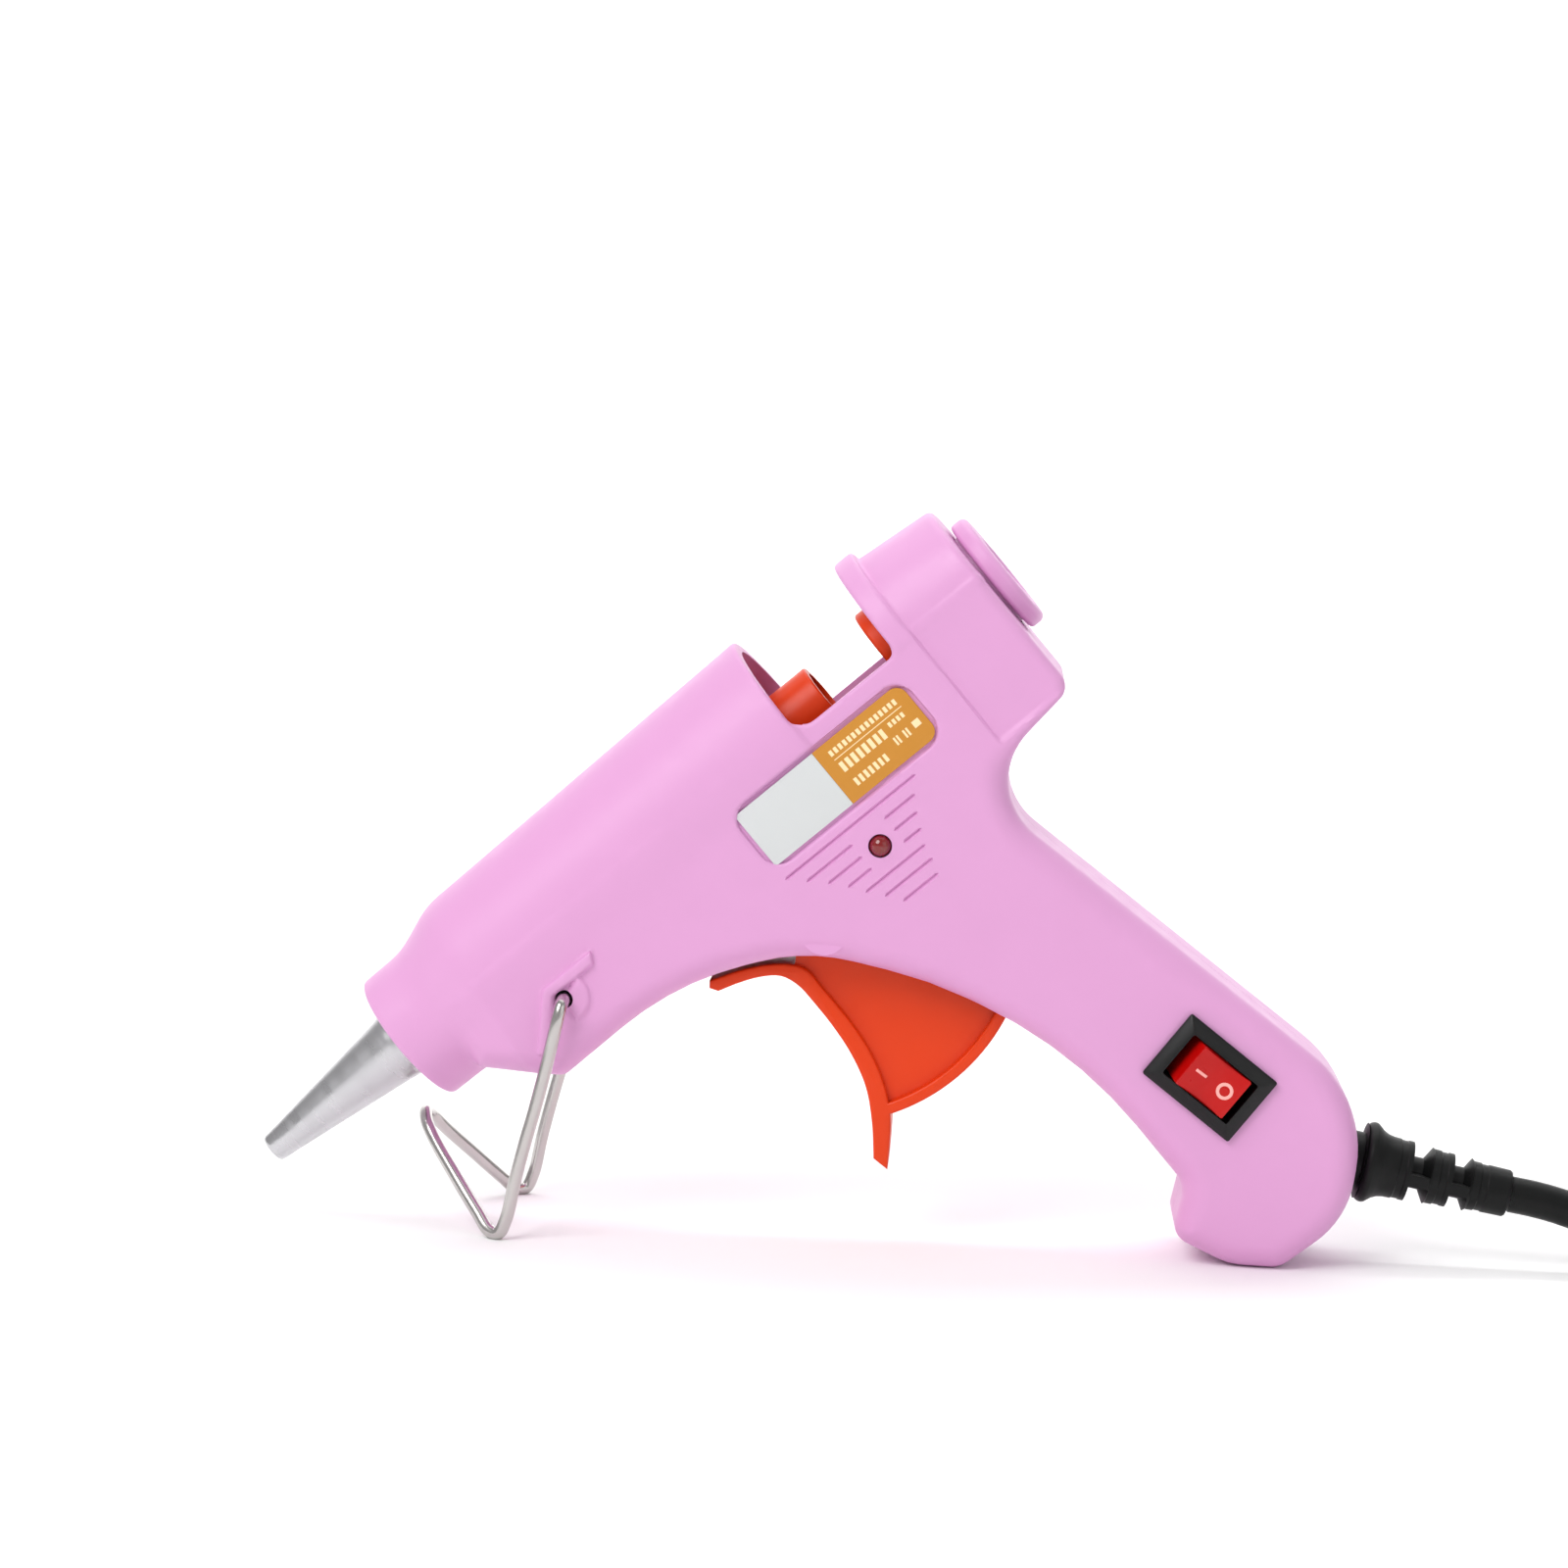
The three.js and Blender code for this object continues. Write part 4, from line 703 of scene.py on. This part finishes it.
def outside_field(a, y, c):
    """Below zero inside the housing's outer form, in mm; a, y and c are arrays."""
    height = np.sqrt(y * y + c * c)
    radius = sum(np.interp(a + shift, BARREL_A, BARREL_R) for shift in (-1.2, -0.6, 0, 0.6, 1.2)) / 5
    barrel = overlap(overlap(height - radius, FRONT - a, 0.7), a - RIM, 0.5)

    depth = inside_distance(body_outline, a, c)
    behind = step_up(a, 112, 118) * step_up(c, -27, -21)
    edge = EDGE - 2.2 * behind
    half = half_at(a, c) - 0.5 * step_up(a, 115.5, 115.9) * step_up(c, -19.6, -18.4)
    half = np.minimum(half, np.maximum(radius, COLLAR) + 0.25 * step_up(a, 37, 42))
    across = np.abs(y)
    plate = overlap(corner_field(edge - depth, across - (half - edge), edge), c - 0.3, 0.5)

    def dome(tall, wide, start, end, soft):
        """The upper half of an oval bar along the gun."""
        oval = (np.sqrt((y / wide) ** 2 + (c / tall) ** 2) - 1) * np.minimum(tall, wide)
        return overlap(overlap(overlap(oval, start - a, soft), a - end, soft), -1 - c, 0.5)

    slope = (a - 114.7) / (REAR - 114.7)
    top = dome(11.9 - 1.2 * slope, BLOCK_HALF - 0.1 * slope, 114, REAR, 1.1)
    flange = dome(13.2, half_at(WINDOW_END, 0) + 0.1, WINDOW_END, FLANGE_END, 0.7)
    field = union(union(union(plate, barrel, 0.9), top, 0.4), flange, 0.35)

    window = inside_distance(window_outline, a, c)
    field = overlap(field, window, 0.6)

    for outline, height_above in ((rib_outline, 0.9), (boss_outline, 0.6)):
        raised = overlap(-inside_distance(outline, a, c), across - half - height_above, 0.7)
        field = union(field, overlap(raised, half - 1.2 - across, 0.1), 0.35)

    x = np.abs(a - LABEL_AT[0]) - LABEL_HALF[0] + LABEL_CORNER
    z = np.abs(c - LABEL_AT[1]) - LABEL_HALF[1] + LABEL_CORNER
    recess = np.maximum(corner_field(x, z, LABEL_CORNER), half - LABEL_DEPTH + y)
    return overlap(field, -recess, 0.5)


def surface(field, low, high, step):
    """The zero surface of a field as a mesh, its points moved onto it exactly."""
    axes = [np.arange(l, h, step) for l, h in zip(low, high)]
    values = field(axes[0][:, None, None], axes[1][None, :, None], axes[2][None, None, :])
    grid = openvdb.FloatGrid(step * 4)
    grid.copyFromArray(np.clip(values, -step * 4, step * 4).astype(np.float32))
    points, quads = grid.convertToQuads(isovalue=0.0)
    points = points.astype(float) * step + [axis[0] for axis in axes]
    nudge = 0.02
    for _ in range(2):
        here = field(*points.T)
        slope = np.stack([field(*(points + nudge * unit).T) - here for unit in np.eye(3)], 1) / nudge
        size = np.maximum((slope ** 2).sum(1), 0.2)
        points -= slope * np.clip(here / size, -step, step)[:, None]
    mesh = bpy.data.meshes.new("surface")
    mesh.vertices.add(len(points))
    mesh.vertices.foreach_set("co", points.astype(np.float32).ravel())
    mesh.loops.add(4 * len(quads))
    mesh.loops.foreach_set("vertex_index", quads.astype(np.int32).ravel())
    mesh.polygons.add(len(quads))
    mesh.polygons.foreach_set("loop_start", np.arange(0, 4 * len(quads), 4, dtype=np.int32))
    mesh.update(calc_edges=True)
    mesh.validate()
    made = bmesh.new()
    made.from_mesh(mesh)
    if made.calc_volume(signed=True) < 0:
        bmesh.ops.reverse_faces(made, faces=made.faces)
    made.to_mesh(mesh)
    made.free()
    return mesh


grid_step = 0.36
outside = surface(outside_field, (22.5, -15.5, -102), (130, 15.5, 16), grid_step)

# ---- what is cut from it


def side_frame(a, c, way):
    """x along a way in the label side's face, z outwards."""
    outward = Vector((-0.012, -1, -0.028)).normalized()
    x_axis = Vector((math.cos(way), 0, math.sin(way)))
    x_axis = (x_axis - outward * x_axis.dot(outward)).normalized()
    turned = Matrix((x_axis, outward.cross(x_axis), outward)).transposed().to_4x4()
    return Matrix.Translation((a, -half_at(a, c), c)) @ turned


SWITCH_FRAME = side_frame(*SWITCH_AT, SWITCH_WAY)
LABEL_FRAME = side_frame(*LABEL_AT, 0)
EXIT_FRAME = Matrix.Translation((EXIT[0], 0, EXIT[1])) @ Matrix.Rotation(-EXIT_WAY, 4, "Y")


def flat_prism(outline, low, high, soft=0.0):
    """An outline in a side frame's x and y, extruded along its z."""
    points, faces = prism(outline, low, high, soft)
    return [(x, z, y) for x, y, z in points], faces


def box_in(place, x, y, z):
    """A box in a side frame's own axes."""
    return moved(flat_prism([(x[0], y[0]), (x[1], y[0]), (x[1], y[1]), (x[0], y[1])], *z), place)


def hollow_half(a, c):
    """Half the hollow's thickness, which the barrel's cone limits at the front."""
    return min(half_at(a, c), max(np.interp(a, BARREL_A, BARREL_R), COLLAR)) - WALL


def cavity_plate():
    """The hollow in the body, with its edges rounded as the outside's are."""
    # From a side face inwards: shares of the edge's radius off the outline and off the thickness.
    layers = [(1, 0), (0.62, 0.08), (0.3, 0.3), (0.08, 0.62), (0, 0.95)]
    rings = []
    for side, order in ((-1, layers), (1, layers[::-1])):
        for share, drop in order:
            outline = rounded(BODY, WALL, EDGE * share)
            rings.append([(a, side * (hollow_half(a, c) - EDGE * drop), c) for a, c in outline])
    return loft(rings)


def oval_bar(rings, steps=48):
    """A bar along the gun through ovals, given as way along, half height and half width."""
    return loft([[(a, half * math.cos(t), tall * math.sin(t))
                  for t in np.linspace(0, 2 * math.pi, steps, endpoint=False)] for a, tall, half in rings])


NOZZLE_HOLE = 5.3
CHAMBER_HOLE = 8.1
cavity_barrel = revolve([(0, FRONT - 1), (NOZZLE_HOLE, FRONT - 1), (NOZZLE_HOLE, FRONT + WALL),
                         (CHAMBER_HOLE, FRONT + WALL), (CHAMBER_HOLE, FRONT + 8.6),
                         (BARREL_R[4] - WALL, SHOULDER + 0.6), (RIM_RADIUS - WALL, RIM + 1),
                         (0, RIM + 1)], 96)
cavity_top = oval_bar([(WINDOW_END + WALL, 10.1, BLOCK_HALF - WALL), (REAR - WALL, 9, BLOCK_HALF - WALL)])
slot_outline = ([(62.3, -52)] + arc(*PIVOT, REACH + 0.7, -95, -50, 24)
                + [(92, -26), (70, -16.2), (62.3, -16.2)])

GROOVES = [(81.3, 104.3), (83.35, 102.6), (85.4, 101.3), (87.2, 100.3), (88.6, 99.3), (90.3, 98.9),
           (91.8, 98.2)]  # where each starts and ends, from the label down
GROOVE_TOP = -15.3
GROOVE_STEP = 2.05
GROOVE_WIDE = 0.34
LAMP_CLEAR = 2.6


def groove_cutters():
    """V-shaped lines under the label, broken round the lamp, with pointed ends."""
    made = []
    for row, (start, end) in enumerate(GROOVES):
        c = GROOVE_TOP - GROOVE_STEP * row
        spans = [(start, end)]
        if abs(c - LED_AT[1]) < LAMP_CLEAR:
            spans = [(start, LED_AT[0] - LAMP_CLEAR), (LED_AT[0] + LAMP_CLEAR, end)]
        for low, high in spans:
            half = (high - low) / 2
            sections = [(-half, 0.5, 0.1), (-half + 0.5, 1.6, -0.42), (half - 0.5, 1.6, -0.42),
                        (half, 0.5, 0.1)]
            rings = [[(x, -GROOVE_WIDE * wide, 0.3), (x, 0, deep), (x, GROOVE_WIDE * wide, 0.3)]
                     for x, wide, deep in sections]
            made.append(moved(loft(rings), side_frame((low + high) / 2, c, 0)))
    return joined(*made)


relief_hole = moved(revolve([(0, -8.9), (5.9, -8.9), (5.9, -5.9), (4.2, -5.9), (4.2, 12), (0, 12)]),
                    EXIT_FRAME)
screw_holes = joined(*[bar(a, c, 2.8, float(half_at(a, c)) - 4.5, 20) for a, c in SCREWS])
shell = boolean(outside, minus=[
    cavity_plate(), cavity_barrel, cavity_top, prism(slot_outline, -6.1, 6.1),
    rod(6.4, WINDOW_END - 1, REAR - 4), rod(7.5, REAR - 3, REAR + 1, centre=INLET_C),
    bar(*STAND_AT, WIRE + 0.35, -20, -9.5), bar(*STAND_AT, WIRE + 0.35, 9.5, 20),
    bar(*LED_AT, LED_RADIUS + 0.12, -20, -8), box_in(SWITCH_FRAME, (-6.6, 6.6), (-4.4, 4.4), (-5, 5)),
    relief_hole, screw_holes, groove_cutters(),
])

# Pieces of the moulding that show through the window and the slots.
rail_half = float(half_at(RIM, -9)) - 1
ribs = {side: [block((78, 110.9), (side * 7, side * rail_half), (-10.9, -9.7)),
               block((110.2, 112.9), (side * 0.3, side * rail_half), (-10.9, -6.7)),
               bar(*PIVOT, 3.3, side * 6.4, side * 12)] for side in (-1, 1)}
for a, c in SCREWS:
    face = float(half_at(a, c)) - 1
    ribs[-1].append(bar(a, c, 2.4, -face, -0.1))
    post = boolean(bar(a, c, 4, face - 4.6, face), plus=[bar(a, c, 2.4, 0.1, face)])
    ribs[1].append(boolean(post, minus=[bar(a, c, 2.8, face - 3.5, 20), bar(a, c, 1.3, -1, 20)]))

SEAM = 0.06  # half the gap between the two halves
for name, side in (("housing_left", -1), ("housing_right", 1)):
    span = sorted((side * SEAM, side * 40))
    half_shell = boolean(shell, within=[block((-50, 250), span, (-200, 60))])
    piece(name.replace("housing", "shell"), joined(half_shell, *ribs[side]), PINK, replaces=[name],
          crease=38)

# ---- barrel, feed and inlet

inlet_line = [(4.6, REAR - 2.6), (8.4, REAR - 2.6), (8.4, REAR - 2.1), (7.2, REAR - 2.1), (7.2, REAR + 0.45)]
inlet_line += (profile_arc(REAR + 1.15, 8.2, 0.7, 180, 90, 6) + profile_arc(REAR + 2.0, 7.9, 1.0, 90, 0, 8)
               + profile_arc(REAR + 2.4, 5.2, 0.6, 0, -90, 6))
piece("inlet_ring", revolve(inlet_line, 96, INLET_C, closed=True), PINK, replaces=["inlet_collar"],
      crease=50)

nozzle_line = [
    (0, FRONT + 5.9), (4.95, FRONT + 5.9), (4.95, FRONT - 1.4), (4.9, FRONT - 1.9), (4.62, FRONT - 3.6),
    (2.42, 3.4), (2.36, 3.0), (2.12, 0.5), (2.0, 0.12), (1.85, 0), (1.05, 0), (0.9, 0.15), (0.9, 4), (0, 4),
]
piece("nozzle_cone", revolve(nozzle_line, 96), NOZZLE, replaces=["nozzle"],
      crease=40)

ARM_TIP = (84.24, -7.31)  # where the trigger's arm drives the carriage
CARRIAGE = (86.04, 100.6)  # front and rear of the carriage's tube
SLED = (-9.4, -5.9)  # bottom and top of the sled under it
sled = boolean(
    revolve([(STICK, CARRIAGE[0]), (TUBE, CARRIAGE[0])]
            + profile_arc(CARRIAGE[1] - 0.35, TUBE - 0.35, 0.35, 90, 0, 4) + [(STICK, CARRIAGE[1])],
            96, closed=True),
    plus=[block((ARM_TIP[0] - 4.2, CARRIAGE[1] - 0.01), (-3.5, 3.5), SLED),
          block((CARRIAGE[0] + 0.01, CARRIAGE[1] - 0.02), (-3.5, 3.5), (SLED[1] - 0.5, -STICK)),
          block((CARRIAGE[0] - 1.5, CARRIAGE[1] - 1.5), (-8.2, 8.2), (SLED[0], SLED[0] + 1.2))],
    minus=[rod(STICK, 80, 105, 96),
           block((ARM_TIP[0] - 2.2, ARM_TIP[0] + 2.2), (-2.4, 2.4), (-20, -2)),
           block((89.3, 98.2), (-2.2, 2.2), (SLED[0] + 1, -2)),
           bar(96.3, -5.8, 1, -5, 5)],
)
piece("feed_slide", sled, ORANGE, body="carriage", replaces=["feed_carriage"])

guide_line = [(4.4, 110.3)] + profile_arc(110.75, 5.65, 0.45, 180, 90, 5) + [(6.1, 123.4), (4.4, 123.4)]
piece("inlet_guide", revolve(guide_line, 96, closed=True), ORANGE, replaces=["inlet_bush"])

# ---- trigger

# The finger blade, down its front and up its back.
FACE = [(62.9, -20.7), (63.6, -21.8), (66.5, -22.7), (69.3, -23.9), (71.6, -25.6), (72.6, -28),
        (72.8, -31.7), (72.7, -36), (72.2, -40.2), (70.9, -44.8), (68.4, -49.2), (65.4, -53.2),
        (65.9, -55.6)]
BACK = [(68.3, -53.2), (71, -50.1), (73.1, -46.1), (74.5, -41.3), (75, -36.5), (75, -30.5), (74.9, -27),
        (73.6, -25.1), (71.2, -23.2), (67.5, -21.3), (63.6, -19.9)]


def plane_curve(points, step=0.7):
    """A smooth line through points of a plane."""
    return [(float(p[0]), float(p[1])) for p in smooth_line([(a, c, 0) for a, c in points], step)]


blade = plane_curve(FACE[1:-1]) + [FACE[-1]] + plane_curve(BACK) + [FACE[0]]
rim = arc(*PIVOT, REACH, -112, -57, 40) + arc(*PIVOT, REACH - 1.6, -57, -112, 40)
web = (arc(*PIVOT, REACH - 1.1, -110, -57, 30)
       + [(84.4, -26), (84.4, -23), (78, -22), (74, -25.6), (74.3, -36)])
arm = [(78.4, -24), (ARM_TIP[0] - 1.3, ARM_TIP[1]), (ARM_TIP[0] + 1.1, ARM_TIP[1]), (83.6, -24)]
WIDE = (-TRIGGER_HALF, TRIGGER_HALF)
trigger_mesh = boolean(
    prism(blade, *WIDE, soft=0.4),
    plus=[prism(rim, *WIDE, soft=0.35), prism(web, -TRIGGER_HALF + 1.4, TRIGGER_HALF - 1.4),
          bar(*PIVOT, 3.5, *WIDE), prism(arm, -2.1, 2.1), bar(*ARM_TIP, 1.8, -2.1, 2.1)],
    minus=[bar(*PIVOT, 1.8, -10, 10)],
)
piece("trigger_lever", trigger_mesh, ORANGE, body="trigger", replaces=["trigger"], crease=36)

# ---- wire stand

sa, sc = STAND_AT
# From the end in the housing's hole, along the leg to the foot, and up to the middle.
HALF_STAND = [
    (sa, -11, sc), (sa, -12.6, sc), (sa, -14.2, sc), (sa - 0.4, -15.3, sc - 0.3),
    (sa - 1.6, -STAND_HALF, sc - 1.2), (sa - 6, -STAND_HALF, sc - 4.5), (sa - 11, -STAND_HALF, sc - 8.1),
    (sa - 16, -STAND_HALF, sc - 11.5), (sa - 20.5, -STAND_HALF, sc - 14.7),
    (sa - 24.7, -STAND_HALF, sc - 17.9), (sa - 27, -STAND_HALF + 0.3, sc - 18.9),
    (sa - 28, -STAND_HALF + 1.2, sc - 17.8), (sa - 28.1, -STAND_HALF + 3, sc - 15.3),
    (sa - 28.1, -8.9, sc - 9.6), (sa - 28, -4.9, sc - 4.1), (sa - 27.7, -2.8, sc - 1.6),
]
wire_points = HALF_STAND + [(sa - 27.4, 0, sc - 0.5)] + [(a, -y, c) for a, y, c in HALF_STAND[::-1]]
piece("stand_wire_bent", sweep(smooth_line(wire_points, 0.45), WIRE, 20), WIRE_STEEL, body="stand",
      replaces=["wire_stand"], crease=60)

# ---- switch


def frame_ring(x, y, z):
    """A rectangle of half sizes x and y with small round corners, at height z."""
    return [(px, py, z) for px, py in rounded_box(x, y, 0.3)]


BEZEL = [(7.4, 5.15, 0.12), (7.5, 5.25, 0.25), (7.5, 5.25, 0.75), (7.35, 5.1, 0.92), (5.95, 3.75, 1.7),
         (5.75, 3.55, 1.75)]
switch_mesh = boolean(
    loft([frame_ring(*ring) for ring in BEZEL]),
    plus=[loft([frame_ring(6.3, 4.1, -9), frame_ring(6.3, 4.1, 0.8)])],
    minus=[loft([frame_ring(5.6, 3.4, -7.5), frame_ring(5.6, 3.4, 5)])],
)
piece("switch_housing", switch_mesh, BLACK, replaces=["switch_body"],
      place=GUN @ SWITCH_FRAME, crease=28)

ROCK = math.radians(8)  # how far the rocker is tipped either way
ROCKER_PLACE = GUN @ SWITCH_FRAME @ Matrix.Translation((0, 0, -0.8)) @ Matrix.Rotation(ROCK, 4, "Y")
RIDGE = (4.1, 3.44)  # each end of the rocker's top
VALLEY = 2.75  # height of its middle
FACE_TURN = math.atan2(RIDGE[1] - VALLEY, RIDGE[0])
dip = plane_curve([(RIDGE[0] - 0.2, RIDGE[1] - 0.02), (2, 3.0), (0, VALLEY), (-2, 3.0),
                   (-RIDGE[0] + 0.2, RIDGE[1] - 0.02)], 0.4)
rocker_outline = [RIDGE] + dip + [(-RIDGE[0], RIDGE[1])] + arc(0, 0, 5.35, 205, 335, 16)
piece("rocker_cap", prism(rocker_outline, -3.2, 3.2, soft=0.22), RED, body="rocker",
      replaces=["switch_rocker"], place=ROCKER_PLACE, crease=28)


def on_rocker(side, lift=0.0):
    """The plane of one of the rocker's faces, at its middle."""
    middle = (side * 2.05, 0, (RIDGE[1] + VALLEY) / 2 - 0.05 + lift)
    return ROCKER_PLACE @ Matrix.Translation(middle) @ Matrix.Rotation(-side * FACE_TURN, 4, "Y")


MARK_HALF = 0.95
ring_mark = revolve([(r, 0.3 * x) for r, x in profile_arc(0, MARK_HALF, 0.24, 0, 360, 10)[:-1]], 40,
                    closed=True)
piece("mark_off", moved(ring_mark, Matrix.Rotation(math.pi / 2, 4, "Y")), MARK, body="rocker",
      place=on_rocker(1, 0.02))
line_mark = flat_prism([(-MARK_HALF, -0.2), (MARK_HALF, -0.2), (MARK_HALF, 0.2), (-MARK_HALF, 0.2)],
                       -0.1, 0.09, 0.06)
piece("mark_on", line_mark, MARK, body="rocker", place=on_rocker(-1))

# ---- lamp and label

LAMP_STRAIGHT = 4.5  # length of the lamp behind its dome
lamp_dome = revolve([(0, 0), (LED_RADIUS, 0)]
                    + [(r, LAMP_STRAIGHT + x) for r, x in arc(0, 0, LED_RADIUS, 0, 90, 12)[:-1]]
                    + [(0, LAMP_STRAIGHT + LED_RADIUS)], 48)
lamp_base = (LED_AT[0], -float(half_at(*LED_AT)) + 5.2, LED_AT[1])
lamp_place = Matrix.Translation(lamp_base) @ Matrix.Rotation(-math.pi / 2, 4, "Z")
piece("lamp_dome", moved(lamp_dome, lamp_place), LAMP, replaces=["indicator_led"])


def label_outline(corner):
    """The label's outline in its own frame, a little smaller than its recess."""
    x, y = 14.3, 4.4
    return rounded([(-x, -y, corner), (x, -y, corner), (x, y, corner), (-x, y, corner)], turn_step=8)


SPLIT = -0.8  # where the grey half meets the gold half
LABEL_LOW, LABEL_HIGH = -0.66, -0.16
for name, corner, span, finish, slot_name in (("blank", 0.5, (-30, SPLIT), GREY, "label_grey"),
                                              ("rating", 1.7, (SPLIT + 0.03, 30), GOLD, "label_gold")):
    flat = boolean(flat_prism(label_outline(corner), LABEL_LOW, LABEL_HIGH, 0.06),
                   within=[box_in(Matrix.Identity(4), span, (-9, 9), (-5, 5))])
    piece(f"sticker_{name}", flat, finish, replaces=[f"label_{name}"],
          place=GUN @ LABEL_FRAME)

# Rows of printed marks: start, end, middle height, mark height, mark width, space between.
PRINT = [(1.0, 12.6, 2.75, 0.85, 0.5, 0.28), (1.0, 12.6, 1.75, 0.12, 11.6, 0.2),
         (1.1, 8.9, 0.35, 1.5, 0.62, 0.36), (9.6, 12.4, 0.75, 0.75, 0.45, 0.26),
         (1.3, 7.6, -2.35, 1.15, 0.5, 0.34), (8.9, 9.9, -1.5, 1.2, 0.3, 0.22),
         (10.5, 11.5, -1.5, 1.2, 0.3, 0.22), (12.2, 13.3, -1.3, 1.0, 1.1, 0.2)]
marks = []
for start, end, y, tall, wide, space in PRINT:
    x = start
    while x + wide <= end + 0.01:
        marks.append(box_in(Matrix.Identity(4), (x, x + wide), (y - tall / 2, y + tall / 2),
                            (LABEL_HIGH - 0.05, LABEL_HIGH + 0.03)))
        x += wide + space
piece("label_marks", joined(*marks), CREAM, place=GUN @ LABEL_FRAME)

# ---- strain relief


def relief():
    """A rounded flange, then three tapering blocks with notches between them round a core."""
    blocks, start, taper = 3, 3.9, 0.42
    pitch = (RELIEF - start) / blocks
    line = [(0, -8.6), (5.4, -8.6), (5.6, -8.4), (5.6, -6.4), (5.4, -6.2), (3.9, -6.2), (3.9, 0.2),
            (5.3, 0.35)]
    line += profile_arc(1.35, 4.6, 1.0, 180, 60, 8)[2:] + [(4.75, 2.7), (4.4, 3.4)]
    for i in range(blocks):
        at, radius = start + i * pitch, 4.22 - taper * i
        last = pitch if i < blocks - 1 else pitch - 0.25
        line += [(radius, at + 0.35), (radius - 0.03, at + 1.35), (radius - 0.16, at + 1.5),
                 (radius - 0.18, at + 2.35), (radius - 0.07, at + 2.5), (radius - 0.12, at + last)]
    line += [(3.1, RELIEF), (0, RELIEF)]
    notches = []
    for i in range(blocks - 1):
        at = start + (i + 0.62) * pitch
        ring = revolve([(2.2, at - 0.2), (7, at - 0.7), (7, at + 4.2), (2.2, at + 1.3)], 64, closed=True)
        for low, high in ((0.3, 9), (-9, -1.4)):
            notches.append(boolean(ring, within=[block((0, 30), (-9, 9), (low, high))]))
    mesh = boolean(revolve(line), minus=notches)
    mesh.transform(EXIT_FRAME)
    return mesh


piece("cord_sleeve", relief(), RUBBER, replaces=["strain_relief"], crease=30)

# ---- screws

for i, (a, c) in enumerate(SCREWS):
    face = float(half_at(a, c))
    head = [(0, face - 4.2), (2.2, face - 4.2), (2.5, face - 4.1), (2.45, face - 3.2), (1.9, face - 2.6),
            (1.0, face - 2.42), (0, face - 2.4)]
    turned = moved(revolve(head, 40), Matrix.Translation((a, 0, c)) @ Matrix.Rotation(math.pi / 2, 4, "Z"))
    shank = bar(a, c, 1, -face + WALL + 2, face - 3.5, 20)
    cross = [block((a - wide, a + wide), (face - 3.4, face), (c - tall, c + tall))
             for wide, tall in ((1.5, 0.3), (0.3, 1.5))]
    piece(f"screw_{i + 1}", boolean(turned, plus=[shank], minus=cross), STEEL,
          replaces=[f"housing_screw_{i + 1}"])

# ---- CAD nodes that stay

KEPT = {
    "heating_chamber": CAST, "ptc_heater": CERAMIC, "heater_clip": STEEL, "inlet_sleeve": SILICONE,
    "sleeve_clamp": STEEL, "stick_gripper": STEEL, "gripper_pin": STEEL, "trigger_pin": STEEL,
    "return_spring": STEEL, "switch_terminal_live": BRASS, "switch_terminal_load": BRASS,
    "led_resistor": SILICONE, "lead_live": BROWN, "lead_load": BROWN, "lead_neutral": BLUE,
}
for name, finish in KEPT.items():
    node = frame["nodes"][name]
    node.data.materials.clear()
    node.data.materials.append(finish)
